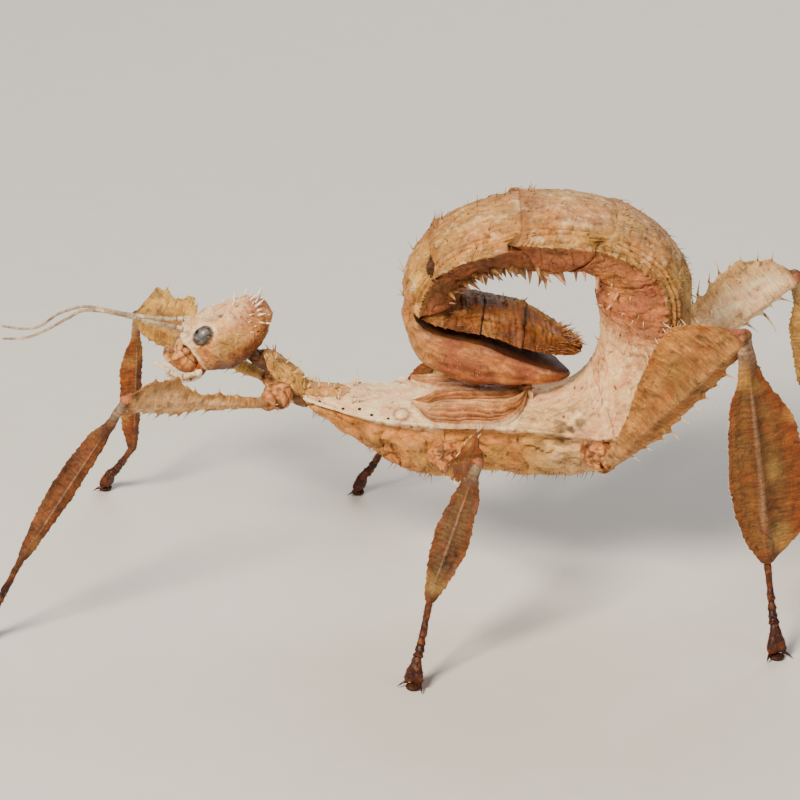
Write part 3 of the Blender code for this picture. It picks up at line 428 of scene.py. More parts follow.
def body_layout(angle):
    """Section values of the body skin at every row and column, and each row's girth, ring,
    part of the ring, lobe reach and climb, as columns."""
    knots = np.concatenate([thorax_knots(), curl_knots()])
    sine = np.sin(angle)
    roof = np.maximum(sine, 0.0) ** 1.5
    belly = np.maximum(-sine, 0.0) ** 1.5
    edge = np.exp(-((sine + 0.1) / 0.22) ** 2)
    margins = [knot + top * roof + side * edge + low * belly for knot, top, side, low in BODY_MARGINS]
    places, values = [], []
    for number, (_, count, lip, reach, climb) in enumerate(BODY_RINGS):
        stretch, girth, part = ring_rows(count, lip)
        first, last = margins[number], margins[number + 1]
        places.append(first + (last - first) * stretch[:, None])
        values.append(np.stack([girth, np.full(len(part), number), part, reach * part ** 1.5,
                                climb * part ** 2], axis=1))
    places = np.concatenate(places)
    rows = flow(knots, places.ravel()).reshape(*places.shape, 9)
    return rows, np.concatenate(values).T[..., None]


def body_places(angle):
    """Points of the body skin, each row's ring and part of the ring, and the way to the tail."""
    rows, (girth, number, part, reach, climb) = body_layout(angle)
    flat = np.zeros(rows.shape[:2])
    centre = np.stack([rows[..., 0], flat, rows[..., 1]], axis=-1)
    back = unit(np.stack([rows[..., 2], flat, rows[..., 3]], axis=-1))
    half_width, height, depth, lobe, droop = (rows[..., i] * girth for i in range(4, 9))
    lobe = np.maximum(lobe, 0.0) + reach
    tail = unit(np.cross(back, SIDE))
    cosine, sine = np.cos(angle), np.sin(angle)
    on_thorax = ((number == MESONOTUM) | (number == METANOTUM))
    under = sine < 0
    power = np.where(on_thorax & under, 0.8, 1.0)
    across = half_width * np.sign(cosine) * np.abs(cosine) ** power
    pull = np.exp(-((sine + climb) / 0.12) ** 2)
    beat = np.abs(np.sin(part * math.pi * 9.0 + 2.0 * np.sin(part * 7.0 + number)))
    teeth = 0.4 * (1.0 - beat) ** 2 * (number >= FIRST_CURLED) * np.minimum(1.0, 8.0 * (1.0 - part))
    across = across + np.sign(cosine) * (lobe + teeth) * pull
    rise = np.where(under, depth, height) * sine + (droop - 0.7 * climb) * pull
    places = centre + SIDE * across[..., None] + back * rise[..., None]
    return places, number, part, tail


# Painted shade in the folds in front of the hip joints: place and strength; and the pale knob where each
# wing is rooted, with a ring of painted shadow round it
HIP_FOLD_SHADE = ((22.2, 6.6, 26.4, 0.8), (20.6, 6.8, 23.6, 0.8), (4.2, 6.0, 19.6, 0.35))
KNOB_PLACE = (0.2, 5.2, 26.8)


def knob_at(places):
    across = places * np.array((1.0, 0.0, 1.0)) + SIDE * np.abs(places[..., 1:2])
    return bump(distance(across, KNOB_PLACE), 0.0, 0.8)


def body_relief(places, angle, number, part, sizes):
    """How far the skin moves in and out: side pleats, keels, puckers and wrinkles."""
    on_curl = (number >= FIRST_CURLED)
    on_thorax = ((number == MESONOTUM) | (number == METANOTUM))
    fold = np.abs((angle - 1.5 * math.pi + math.pi) % (2.0 * math.pi) - math.pi)[None, :]
    edge_angle = 0.5 * math.pi
    pleats = sum(bump(fold, edge_angle - away, 0.045) for away in (0.2, 0.38, 0.56))
    between = sum(bump(fold, edge_angle - away, 0.07) for away in (0.29, 0.47, 0.68))
    wander = 0.7 + 0.6 * clouds(places, 4.0, 60.0)
    move = on_curl * wander * (0.22 * between - 0.34 * pleats)
    keel = bump(fold, 0.0, 0.1)
    move = move + 0.16 * on_curl * keel + 0.22 * on_thorax * keel
    roof = bump(fold, math.pi, 0.06)
    move = move + 0.14 * roof * (number >= PRONOTUM)
    edge = bump(fold, edge_angle + 0.02, 0.06)
    move = move + on_thorax * (0.34 * edge - 0.3 * bump(fold, edge_angle - 0.16, 0.06))
    coarse = clouds(places, 3.4, 3.0)
    streaks = clouds(places * np.array((0.45, 1.3, 1.3)), 1.2, 9.0)
    fine = clouds(places, 0.8, 17.0)
    puckers = np.abs(clouds(places, 1.7, 27.0))
    wrinkles = 1.8 * coarse + 1.3 * streaks + 0.7 * fine - 1.6 * (puckers < 0.05) + 0.6 * puckers
    move = move + sizes.relief * wrinkles
    flank = on_thorax * ease(edge_angle - fold, 0.15, 0.35)
    move = move + flank * 0.42 * clouds(places, 2.4, 40.0)
    move = move - flank * 0.35 * (np.abs(clouds(places, 3.1, 50.0)) < 0.04)
    move = move + 0.8 * on_thorax * knob_at(places)
    rim = ease(part, 0.93, 0.995)
    return move * (1.0 - 0.7 * rim)


def body_livery(places, move, angle, number, part):
    sine = np.sin(angle)[None, :]
    over = ease(sine, -0.14, 0.06)
    edge = np.exp(-((sine + 0.1) / 0.2) ** 2)
    ring = {name: (number == i) for i, (name, *_) in enumerate(BODY_RINGS)}
    curl = (number >= FIRST_CURLED)
    late = ((number >= FIRST_CURLED + 3) | (number <= PRONOTUM))
    thorax = ring["mesothorax"] | ring["metathorax"]
    roof = thorax * over
    flank = thorax * (1.0 - over)
    neck = ring["neck"]
    pronotum = ring["prothorax"]
    big = clouds(places, 6.0, 1.0)
    mid = clouds(places, 2.0, 5.0)
    small = clouds(places, 0.7, 8.0)
    lines = clouds(places * np.array((0.3, 1.0, 1.0)), 1.3, 12.0)
    along_base = np.where(number == FIRST_CURLED + 1, 1.0 + part, 9.0)
    along_base = np.where(number == FIRST_CURLED, part, along_base)
    base = curl * (1.0 - ease(along_base, 0.3, 1.35))
    base_end = ease(places[..., 0], 15.0, 21.0) * ring["metathorax"]
    beside = np.abs(places)
    hip_shade = sum(amount * bump(distance(beside, hip), 0.0, 2.0) for *hip, amount in HIP_FOLD_SHADE)
    knob = knob_at(places)
    saddle = bump(places[..., 0], 18.4, 3.2) * (1.0 - ease(sine, 0.7, 0.95))
    slit_shade = np.exp(-((sine + 0.48) / 0.24) ** 2)
    plate_edge = np.exp(-((sine - 0.02) / 0.1) ** 2) * ring["mesothorax"]
    return layered(
        places, "tan",
        ("straw", curl * ease(big, -0.2, 0.4) * 0.6),
        ("peach", curl * ease(-big, 0.0, 0.5) * 0.5),
        ("rose", curl * over * (0.85 + 0.3 * mid)),
        ("peach", curl * over * ease(big, 0.0, 0.4) * 0.5),
        ("cream", base * over * (0.9 + 0.3 * mid)),
        ("tan", base * (1.0 - over) * 0.6),
        ("umber", curl * over * ease(number, 6.9, 7.6) * (0.5 + 0.4 * big)),
        ("straw", curl * edge * 0.6 * ease(part, 0.1, 0.4) * (number >= 6)),
        ("cream", roof),
        ("peach", roof * ease(big, 0.1, 0.6) * 0.18),
        ("tan", roof * ease(lines, 0.2, 0.55) * 0.16),
        ("bone", roof * 0.4),
        ("ochre", flank),
        ("peach", flank * (0.62 + 0.5 * lines)),
        ("straw", flank * ease(big, 0.0, 0.5) * 0.6),
        ("rust", flank * ease(mid, 0.1, 0.5) * 0.3),
        ("umber", flank * ease(small + mid, 0.45, 0.85) * 0.3),
        ("tan", base_end * (1.0 - over) * 0.4),
        ("rose", base_end * ease(mid, 0.0, 0.5) * 0.35),
        ("cream", base_end * 0.75),
        ("straw", ring["metathorax"] * saddle * 0.55),
        # Painted shade in the folds in front of the hip joints
        ("umber", hip_shade * ease(small + mid, -0.5, 0.2) * 0.85),
        ("dark", hip_shade * ease(small, 0.0, 0.3) * 0.6),
        ("bone", plate_edge * 0.9),
        # Painted shadow in a ring round the pale wing knob
        ("umber", thorax * bump(knob, 0.22, 0.12) * 0.6),
        ("bone", thorax * ease(knob, 0.4, 0.6)),
        ("straw", pronotum * (0.8 + 0.3 * mid)),
        ("peach", pronotum * ease(big + lines, 0.0, 0.5) * 0.5),
        ("leaf", pronotum * ease(-lines - 0.5 * mid, 0.05, 0.5) * 0.6),
        # Painted shade on the underside of the prothorax
        ("umber", pronotum * ease(-sine, -0.2, 0.5) * 0.75),
        ("umber", neck * 0.85),
        ("dark", neck * ease(mid, -0.1, 0.3) * 0.6),
        ("bone", curl * (1.0 - over) * ease(mid + small, 0.3, 0.8) * 0.35),
        ("rust", curl * ease(-mid - 0.5 * small, 0.25, 0.7) * 0.45),
        ("umber", curl * ease(-small - lines, 0.45, 0.9) * 0.45),
        ("rust", curl * late * ease(part, 0.84, 0.98) * 0.45),
        # Painted shade in the skin's hollows and painted highlight on its raised parts, from how far the
        # skin moves
        ("umber", ease(-move, 0.1, 0.42) * (0.7 - 0.42 * flank)),
        ("bone", ease(move, 0.14, 0.5) * 0.4),
        ("dark", ((part >= 1.0) | (part < 0.015)) * (0.04 + 0.83 * late * (0.25 + 0.75 * edge))),
        # Painted shade in the slit between two lobes, at the front of the slit ring
        ("foot", (number == SLIT_RING) * ease(0.22 * slit_shade - part, 0.0, 0.03) * 0.95),
    )


def node(tree, kind, settings=None, links=None):
    """Adds a shader node with its settings, and links its inputs to other nodes' outputs."""
    made = tree.nodes.new(kind)
    for name, value in (settings or {}).items():
        if name in made.inputs:
            made.inputs[name].default_value = value
        else:
            setattr(made, name, value)
    for name, source in (links or {}).items():
        tree.links.new(source, made.inputs[name])
    return made


def blank_material(name):
    made = bpy.data.materials.new(name)
    made.use_nodes = True
    tree = made.node_tree
    shader = tree.nodes["Principled BSDF"]
    return made, tree, shader


def mix_colour(tree, blend_type, amount, under, over):
    """One colour laid over another. Amount, under and over are numbers, hex colours or outputs."""
    made = tree.nodes.new("ShaderNodeMix")
    made.data_type = "RGBA"
    made.blend_type = blend_type
    made.clamp_result = True
    for place, value in ((0, amount), (6, under), (7, over)):
        if isinstance(value, bpy.types.NodeSocket):
            tree.links.new(value, made.inputs[place])
        elif isinstance(value, str):
            made.inputs[place].default_value = (*linear(value), 1.0)
        else:
            made.inputs[place].default_value = value
    return made.outputs[2]


def ramp(tree, source, *stops):
    """A grey ramp from pairs of a place and a level."""
    made = tree.nodes.new("ShaderNodeValToRGB")
    tree.links.new(source, made.inputs[0])
    stretch = made.color_ramp.elements
    while len(stretch) < len(stops):
        stretch.new(0.5)
    for element, (place, level) in zip(stretch, stops):
        element.position = place
        element.color = (level, level, level, 1.0)
    return made.outputs[0]


def in_millimetres(tree):
    """Object coordinates in millimetres."""
    place = node(tree, "ShaderNodeTexCoord").outputs["Object"]
    scale = (1.0 / MM, 1.0 / MM, 1.0 / MM)
    return node(tree, "ShaderNodeMapping", {"Scale": scale}, {"Vector": place}).outputs[0]


def noise_at(tree, vector, millimetres, detail=4.0, roughness=0.6, distortion=0.0):
    """Noise whose lumps are about the given size."""
    return node(tree, "ShaderNodeTexNoise", {
        "Scale": 1.0 / millimetres, "Detail": detail, "Roughness": roughness, "Distortion": distortion,
    }, {"Vector": vector}).outputs[0]


def cells_at(tree, vector, millimetres, feature="F1"):
    """Distance to the middle of the nearest cell, or to its edge."""
    return node(tree, "ShaderNodeTexVoronoi", {"feature": feature, "Scale": 1.0 / millimetres},
                {"Vector": vector}).outputs["Distance"]


def stretched(tree, vector, across, along, away=1.0):
    """A vector counted in grains of the given size across, along and away."""
    scale = (1.0 / across, 1.0 / along, 1.0 / away)
    return node(tree, "ShaderNodeMapping", {"Scale": scale}, {"Vector": vector}).outputs[0]


def skin_material(name, roughness, relief, fibre=(0.5, 3.0), freckles=0.6, cracks=0.5, contrast=0.8):
    """Dry insect skin: the painted livery, mottled, streaked with the lay, cracked and freckled."""
    made, tree, shader = blank_material(name)
    place = in_millimetres(tree)
    lay = node(tree, "ShaderNodeAttribute", {"attribute_name": "Lay"}).outputs["Vector"]
    livery = node(tree, "ShaderNodeAttribute", {"attribute_name": "Livery"}).outputs["Color"]
    mottle = noise_at(tree, place, 2.4, 6.0, 0.68, 0.6)
    grain = noise_at(tree, place, 0.35, 4.0, 0.7)
    strands = noise_at(tree, stretched(tree, lay, *fibre), 1.0, 5.0, 0.6, 0.4)
    colour = livery
    for share, source, deep, light in ((1.0, mottle, (0.3, 0.2), (0.7, 0.78)),
                                       (0.65, strands, (0.32, 0.18), (0.68, 0.8)),
                                       (0.55, grain, (0.3, 0.2), (0.7, 0.8))):
        colour = mix_colour(tree, "OVERLAY", share * contrast, colour, ramp(tree, source, deep, light))
    cells = cells_at(tree, place, 2.2, "DISTANCE_TO_EDGE")
    patches = noise_at(tree, place, 3.3, 3.0)
    split = mix_colour(tree, "MULTIPLY", 1.0, ramp(tree, cells, (0.0, 1.0), (0.035, 0.0)),
                       ramp(tree, patches, (0.5, 0.0), (0.6, 1.0)))
    colour = mix_colour(tree, "MIX", scaled(tree, split, cracks), colour, "#3B2010")
    dashes = cells_at(tree, stretched(tree, lay, 3.4, 1.5, 3.0), 1.0)
    spots = cells_at(tree, place, 1.3)
    dots = mix_colour(tree, "LIGHTEN", 1.0, ramp(tree, dashes, (0.1, 1.0), (0.2, 0.0)),
                      ramp(tree, spots, (0.08, 1.0), (0.17, 0.0)))
    dots = mix_colour(tree, "MULTIPLY", 1.0, dots, ramp(tree, mottle, (0.44, 1.0), (0.5, 0.0)))
    colour = mix_colour(tree, "MIX", scaled(tree, dots, freckles), colour, "#2A160C")
    tree.links.new(colour, shader.inputs["Base Color"])
    height = mix_colour(tree, "MIX", 0.45, mottle, grain)
    height = mix_colour(tree, "MIX", 0.4, height, strands)
    height = mix_colour(tree, "SUBTRACT", scaled(tree, split, 0.6), height, (0.5, 0.5, 0.5, 1.0))
    dull = node(tree, "ShaderNodeMapRange", {"To Min": roughness - 0.15, "To Max": roughness + 0.18},
                {"Value": grain})
    tree.links.new(dull.outputs[0], shader.inputs["Roughness"])
    shader.inputs["Specular IOR Level"].default_value = 0.28
    wrinkle = node(tree, "ShaderNodeBump", {"Strength": 0.8, "Distance": relief * MM}, {"Height": height})
    tree.links.new(wrinkle.outputs[0], shader.inputs["Normal"])
    return made


def scaled(tree, value, amount):
    """A grey value times a number."""
    made = node(tree, "ShaderNodeMath", {"operation": "MULTIPLY"}, {0: value})
    made.inputs[1].default_value = amount
    return made.outputs[0]


def thorn_material(name, root_code, shaft_code, tip_code, roughness=0.42):
    """Horny thorns: skin-coloured at the root, pale along the shaft, darker at the tip."""
    made, tree, shader = blank_material(name)
    place = in_millimetres(tree)
    rise = node(tree, "ShaderNodeAttribute", {"attribute_name": "Rise"}).outputs["Fac"]
    shaft = mix_colour(tree, "MIX", ramp(tree, rise, (0.05, 0.0), (0.4, 1.0)), root_code, shaft_code)
    whole = mix_colour(tree, "MIX", ramp(tree, rise, (0.78, 0.0), (0.98, 1.0)), shaft, tip_code)
    streak = noise_at(tree, place, 0.5, 3.0)
    whole = mix_colour(tree, "SOFT_LIGHT", 0.6, whole, ramp(tree, streak, (0.3, 0.2), (0.7, 0.85)))
    tree.links.new(whole, shader.inputs["Base Color"])
    shader.inputs["Roughness"].default_value = roughness
    shader.inputs["Specular IOR Level"].default_value = 0.35
    return made


def eye_material():
    """A compound eye: a glossy clear shell over grey facets with dark banding."""
    made, tree, shader = blank_material("Faceted eye, glossy cornea")
    place = in_millimetres(tree)
    facets = cells_at(tree, place, 0.11)
    bands = noise_at(tree, place, 0.9, 3.0, 0.6, 0.8)
    colour = mix_colour(tree, "MIX", ramp(tree, bands, (0.36, 0.0), (0.62, 1.0)), "#1A1513", "#8A8380")
    cells = ramp(tree, facets, (0.1, 1.0), (0.6, 0.35))
    colour = mix_colour(tree, "MULTIPLY", 0.8, colour, cells)
    tree.links.new(colour, shader.inputs["Base Color"])
    shader.inputs["Roughness"].default_value = 0.4
    shader.inputs["Coat Weight"].default_value = 0.2
    shader.inputs["Coat Roughness"].default_value = 0.12
    bumps = node(tree, "ShaderNodeBump", {"Strength": 0.7, "Distance": 0.02 * MM, "invert": True},
                 {"Height": facets})
    tree.links.new(bumps.outputs[0], shader.inputs["Normal"])
    return made


def model_thorn(sides, steps, waist):
    """Points and faces of one thorn, 1 high and 1 in radius, extruded and narrowed by hand."""
    deselect()
    bpy.ops.mesh.primitive_circle_add(vertices=sides, radius=1.0, fill_type="NGON")
    bpy.ops.object.mode_set(mode="EDIT")
    bpy.ops.mesh.select_all(action="SELECT")
    radius = 1.0
    for step in range(1, steps + 1):
        wanted = max(0.03, (1.0 - step / steps) ** waist)
        bpy.ops.mesh.extrude_region_move(TRANSFORM_OT_translate={"value": (0.0, 0.0, 1.0 / steps)})
        bpy.ops.transform.resize(value=(wanted / radius, wanted / radius, 1.0))
        radius = wanted
    bpy.ops.object.mode_set(mode="OBJECT")
    thorn = bpy.context.object
    mesh = thorn.data
    points = np.array([vertex.co for vertex in mesh.vertices])
    faces = [tuple(face.vertices) for face in mesh.polygons]
    bpy.data.objects.remove(thorn)
    return points, faces


def kept_share(root, run):
    """The share of each thorn's run from its root that stays inside the CAD box."""
    low, high = (np.array(corner) / MM + MIDDLE for corner in CAD_BOX)
    tip = root + run
    over = np.maximum(np.maximum(tip - high, low - tip) + BOX_MARGIN, 0.0)
    share = 1.0 - np.max(over / np.maximum(np.abs(run), BOX_MARGIN), axis=1)
    return np.clip(share, SHORTEST_SHARE, 1.0)[:, None]


def stamp(name, model, thorns):
    """Copies of one thorn joined into a piece. Each thorn is a root, a direction, a length,
    a radius, a bend and its place on the skin's unwrap."""
    points, faces = model
    count, many = len(thorns), len(points)
    root = np.array([thorn[0] for thorn in thorns])
    ahead = unit(np.array([thorn[1] for thorn in thorns]))
    length, radius, bend = (np.array([thorn[i] for thorn in thorns])[:, None] for i in (2, 3, 4))
    spot = np.array([thorn[5] for thorn in thorns])
    spin = np.random.default_rng(len(thorns)).normal(size=(count, 3))
    first = unit(np.cross(ahead, spin))
    second = np.cross(ahead, first)
    length = length * kept_share(root, (ahead + first * bend) * length)
    x, y, z = (points[:, i][None, :, None] for i in range(3))
    wide = radius[..., None]
    tall = length[..., None]
    places = (root[:, None] + first[:, None] * x * wide + second[:, None] * y * wide
              + ahead[:, None] * z * tall + first[:, None] * (bend[..., None] * tall * z ** 2))
    mesh = bpy.data.meshes.new(name)
    loops = [[index + many * copy for index in face] for copy in range(count) for face in faces]
    mesh.from_pydata(metres(places.reshape(-1, 3)).tolist(), [], loops)
    rise = mesh.attributes.new("Rise", "FLOAT", "POINT")
    rise.data.foreach_set("value", np.tile(points[:, 2], count).astype(np.float32))
    corner = np.empty(len(mesh.loops), np.int32)
    mesh.loops.foreach_get("vertex_index", corner)
    patch = spot[corner // many] + points[corner % many, :2] * UNWRAP_RADIUS
    unwrap = mesh.uv_layers.new(name="OFBake")
    unwrap.uv.foreach_set("vector", patch.astype(np.float32).ravel())
    piece = bpy.data.objects.new(name, mesh)
    bpy.context.scene.collection.objects.link(piece)
    select_only(piece)
    bpy.ops.object.shade_smooth()
    return piece


def plant(name, model, thorns, surface, slot_name):
    """A piece of many thorns, from a model thorn's sides, steps and waist."""
    finish_piece(stamp(name, model_thorn(*model), thorns), surface, slot_name)


def nearest(values, wanted):
    return int(np.argmin(np.abs(values - wanted)))


def nearest_row(number, part, ring, place):
    """The row of a ring that is nearest to a part of the ring."""
    return int(np.argmin(np.abs(number - ring) * 10.0 + np.abs(part - place)))


def unwrap_spot(places, row, column):
    return tuple(0.02 + 0.95 * at / count for at, count in zip((column, row), places.shape[1::-1]))


def scatter(skin, allowed, count, rng, length, radius, lean, lean_amount=0.3, bend=0.2, sink=0.12):
    """Thorns at random places of a skin where allowed is true, leaning the way that lean says."""
    places, normals = skin
    lean = np.broadcast_to(lean, places.shape)
    rows, columns = np.nonzero(allowed[:-1, :-1])
    if len(rows) == 0:
        return []
    steps_a = np.linalg.norm(places[1:, :-1] - places[:-1, :-1], axis=-1)
    steps_b = np.linalg.norm(places[:-1, 1:] - places[:-1, :-1], axis=-1)
    area = (steps_a * steps_b)[rows, columns]
    picks = rng.choice(len(rows), size=count, p=area / area.sum())
    thorns = []
    for pick in picks:
        row, column = rows[pick], columns[pick]
        normal = normals[row, column]
        towards = unit(normal + lean[row, column] * lean_amount + rng.normal(0.0, 0.12, 3))
        size = rng.uniform(*length)
        thick = rng.uniform(*radius)
        root = places[row, column] - towards * sink
        spot = unwrap_spot(places, row, column)
        thorns.append((root, towards, size + sink, thick, rng.normal(0.0, bend), spot))
    return thorns


def scatter_all(skin, rng, lean, *kinds):
    """Thorns of several kinds, each with where it is allowed, how many, lengths, radii, and how
    far it leans and bends."""
    grown = []
    for allowed, count, length, radius, *amounts in kinds:
        grown += scatter(skin, allowed, count, rng, length, radius, lean, *amounts)
    return grown


def thorn_at(skin, row, column, towards, length, radius, bend=0.0, sink=0.3):
    places, _ = skin
    towards = unit(towards)
    root = places[row, column] - towards * sink
    return (root, towards, length + sink, radius, bend, unwrap_spot(places, row, column))


# Black warts on the rim of the middle roof plate: place x, and how far above the rim in degrees
RIM_WARTS = ((-10.3, 9), (-8.0, 50), (-7.4, 10), (-5.2, 26), (-3.6, 14), (-1.6, 10), (4.6, 18), (8.4, 6))
WART_HEIGHT, WART_RADIUS = 0.16, 0.3

# Fleshy horns inside the curl: part of the ring and how far across
HORN_PLACES = ((0.8, 0.17), (0.45, 0.4), (0.86, 0.5), (0.2, 0.24))
HORN_LENGTH = {4: 0.7, 5: 1.3, 6: 1.9, 7: 2.1, 8: 1.7, 9: 1.0}

# Crests inside the curl: ring, part of the ring, length of the spines
CRESTS = ((7, 0.93, 1.8), (8, 0.35, 2.0), (8, 0.62, 2.5), (8, 0.9, 2.6), (9, 0.2, 2.2), (9, 0.5, 1.6))
CREST_SPINES = 13


class MakeBodySkin(bpy.types.Operator):
    """Neck, thorax and curled abdomen as one skin of overlapping rings"""

    bl_idname = "insect.body_skin"
    bl_label = "Body skin"

    def execute(self, context):
        sizes = context.scene.insect_sizes
        angle = side_angles(BODY_COLUMNS)
        places, number, part, tail = body_places(angle)
        normals = normals_of(places)
        move = body_relief(places, angle, number, part, sizes)
        livery = body_livery(places, move, angle, number, part)
        places = places + normals * move[..., None]
        skin = wrap_grid("body_skin", places, livery)
        surface = skin_material(
            "Dry cuticle, matte body plates", 0.6, 0.26, freckles=0.8, cracks=0.35, contrast=0.75)
        finish_piece(skin, surface, "plate", *[name for name, *_ in BODY_RINGS])
        body_thorns((places, normals_of(places)), angle, number, part, tail)
        return {"FINISHED"}


def body_thorns(skin, angle, number, part, tail):
    """Horns inside the curl, thorns on lobes, back and keel, bristles, and black rim warts."""
    rng = np.random.default_rng(SEED)
    places = skin[0]
    sine = np.sin(angle)[None, :] * np.ones((len(places), 1))
    curl = number >= FIRST_CURLED
    thorax = (number == MESONOTUM) | (number == METANOTUM)
    shown = ((part > 0.06) & (part < 0.97))
    hind = ((part > 0.82) & (part < 0.96))
    outer = curl & shown & (sine < -0.2)
    inner = curl & shown & (sine > 0.3)
    edge = curl & shown & (np.abs(sine + 0.08) < 0.09)
    belly = thorax & shown & (sine < -0.6)
    pronotum = (number == PRONOTUM) & shown
    brown_ones = scatter_all(
        skin, rng, tail,
        (outer, 80, (0.6, 1.9), (0.05, 0.09), 0.6, 0.25),
        (outer & hind, 110, (0.5, 1.5), (0.05, 0.09), 0.8, 0.25),
        (edge, 210, (0.25, 0.75), (0.045, 0.08), 0.7, 0.2),
        (belly, 170, (0.5, 1.4), (0.05, 0.09), 0.3, 0.3),
    )
    brown_ones += curl_crests(skin, angle, number, part, tail, rng)
    big = scatter_all(
        skin, rng, tail,
        (inner, 26, (0.4, 1.1), (0.07, 0.13), 0.5, 0.3),
        (pronotum & (sine > 0.1), 22, (0.5, 1.3), (0.1, 0.17), 0.2, 0.2),
        (pronotum & (sine > 0.8), 8, (1.0, 1.6), (0.14, 0.2), 0.2, 0.2),
    )
    front = (number == MESONOTUM) & shown & (places[..., 0] < -5.0) & (sine > 0.6)
    big += scatter(skin, front, 6, rng, (1.3, 2.2), (0.16, 0.22), tail, 0.1, 0.15)
    fleshy = curl_horns(skin, angle, number, part, tail, rng)
    fine = scatter_all(
        skin, rng, tail,
        (outer, 620, (0.15, 0.45), (0.03, 0.055), 0.6),
        (inner, 420, (0.15, 0.4), (0.03, 0.055), 0.6),
        (belly, 420, (0.2, 0.6), (0.03, 0.055), 0.4),
        ((number <= METANOTUM) & shown, 620, (0.12, 0.35), (0.03, 0.05), 0.6),
    )
    bone = thorn_material("Horny thorn, bone pale", "#A87440", "#E6CDA2", "#4A2A18")
    brown = thorn_material("Fine bristle, straw brown", "#7A5228", "#B48C55", "#4A2A14")
    horn = thorn_material("Horny thorn, dark brown", "#5E3515", "#94683A", "#1E0E06")
    plant("body_thorns", (7, 5, 0.8), big, bone, "plate")
    rosy = thorn_material("Fleshy horn, rosy", "#8A4A2C", "#C08A66", "#6E4026")
    plant("curl_horns", (8, 6, 0.7), fleshy, rosy, "plate")
    plant("dark_thorns", (6, 4, 0.8), brown_ones, horn, "plate")
    plant("body_bristles", (4, 3, 0.9), fine, brown, "plate")
    black = thorn_material("Glossy wart, black", "#1A0D08", "#150A06", "#2A1A12", 0.3)
    plant("rim_warts", (12, 5, 0.5), rim_warts(skin, angle, number), black, "plate")


def curl_horns(skin, angle, number, part, tail, rng):
    grown = []
    for ring, length in HORN_LENGTH.items():
        for place, across in HORN_PLACES:
            for mirror in (-1.0, 1.0):
                row = nearest_row(number, part, ring, place)
                column = nearest(angle, math.pi * (0.5 + 0.5 * across * mirror))
                towards = skin[1][row, column] + tail[row, column] * 0.5 + rng.normal(0.0, 0.15, 3)
                tall = length * rng.uniform(0.7, 1.1)
                radius = 0.14 + 0.13 * tall
                grown.append(thorn_at(skin, row, column, towards, tall, radius, rng.normal(0.0, 0.25)))
    return grown


def curl_crests(skin, angle, number, part, tail, rng):
    """Ragged rows of stout spines on the roofs of the last rings, inside the curl."""
    grown = []
    for ring, place, tall in CRESTS:
        for across in np.linspace(-0.62, 0.62, CREST_SPINES):
            row = nearest_row(number, part, ring, place)
            column = nearest(angle, math.pi * (0.5 + 0.5 * across))
            towards = skin[1][row, column] + tail[row, column] * 0.25 + rng.normal(0.0, 0.22, 3)
            size = tall * rng.uniform(0.45, 1.1)
            grown.append(thorn_at(skin, row, column, towards, size, 0.3 + 0.1 * size, rng.normal(0.0, 0.2)))
    return grown


def rim_warts(skin, angle, number):
    places, normals = skin
    grown = []
    rows = np.nonzero((number == MESONOTUM) | (number == METANOTUM))[0]
    for x, above in RIM_WARTS:
        for column_angle in (math.radians(above), math.pi - math.radians(above)):
            column = nearest(angle, column_angle)
            row = rows[nearest(places[rows, column, 0], x)]
            normal = normals[row, column]
            grown.append(thorn_at(skin, row, column, normal, WART_HEIGHT, WART_RADIUS, sink=0.1))
    return grown


# Tail end: margin x and z, direction of the back x and z, half width, back height, belly depth
TAIL_SECTIONS = (
    (2.6, 40.8, 0.99, 0.12, 6.2, 4.2, 0.5),
    (4.0, 39.9, 0.95, 0.32, 6.1, 3.6, 0.5),
    (5.8, 39.2, 0.78, 0.62, 5.9, 2.8, 0.6),
    (8.0, 38.7, 0.38, 0.93, 5.6, 2.3, 0.6),
    (10.1, 38.3, 0.0, 1.0, 5.4, 2.4, 0.6),
    (13.0, 37.2, 0.0, 1.0, 5.2, 3.2, 0.6),
    (15.4, 36.2, 0.0, 1.0, 5.0, 3.8, 0.6),
    (18.6, 35.0, 0.0, 1.0, 4.1, 3.1, 0.6),
    (21.0, 34.3, 0.0, 1.0, 3.0, 2.1, 0.6),
    (23.4, 33.8, 0.0, 1.0, 1.7, 1.0, 0.5),
)
TAIL_MARGINS = ((0.0, 0.0), (4.0, 0.25), (6.0, 0.2), (9.0, 0.0))
TAIL_RINGS = (("abdomen_8", 60), ("abdomen_9", 46), ("abdomen_10", 60))
TAIL_COLUMNS = 112
TAIL_AHEAD = np.array((0.9, 0.0, -0.3))

# Boat-shaped plate under the tail: rim x and z, direction away from the rim, half width, depth
BOAT_SECTIONS = (
    (1.7, 40.2, -0.97, -0.24, 6.2, 1.4),
    (3.3, 38.6, -0.72, -0.69, 6.0, 3.2),
    (5.6, 37.6, -0.45, -0.89, 5.7, 5.8),
    (9.6, 36.6, -0.08, -1.0, 5.4, 7.1),
    (13.0, 35.0, 0.0, -1.0, 5.0, 5.7),
    (16.6, 33.2, 0.0, -1.0, 4.1, 4.0),
    (19.6, 31.7, 0.0, -1.0, 2.8, 2.4),
    (21.8, 30.5, 0.0, -1.0, 1.1, 0.9),
)
BOAT_ROWS = 150
BOAT_COLUMNS = 112


def tapered(part, start):
    """Girth that closes like a blunt tip after the start."""
    beyond = np.clip((part - start) / (1.0 - start), 0.0, 1.0)
    return np.sqrt(np.maximum(1.0 - beyond ** 2, 0.0)) * 0.98 + 0.02


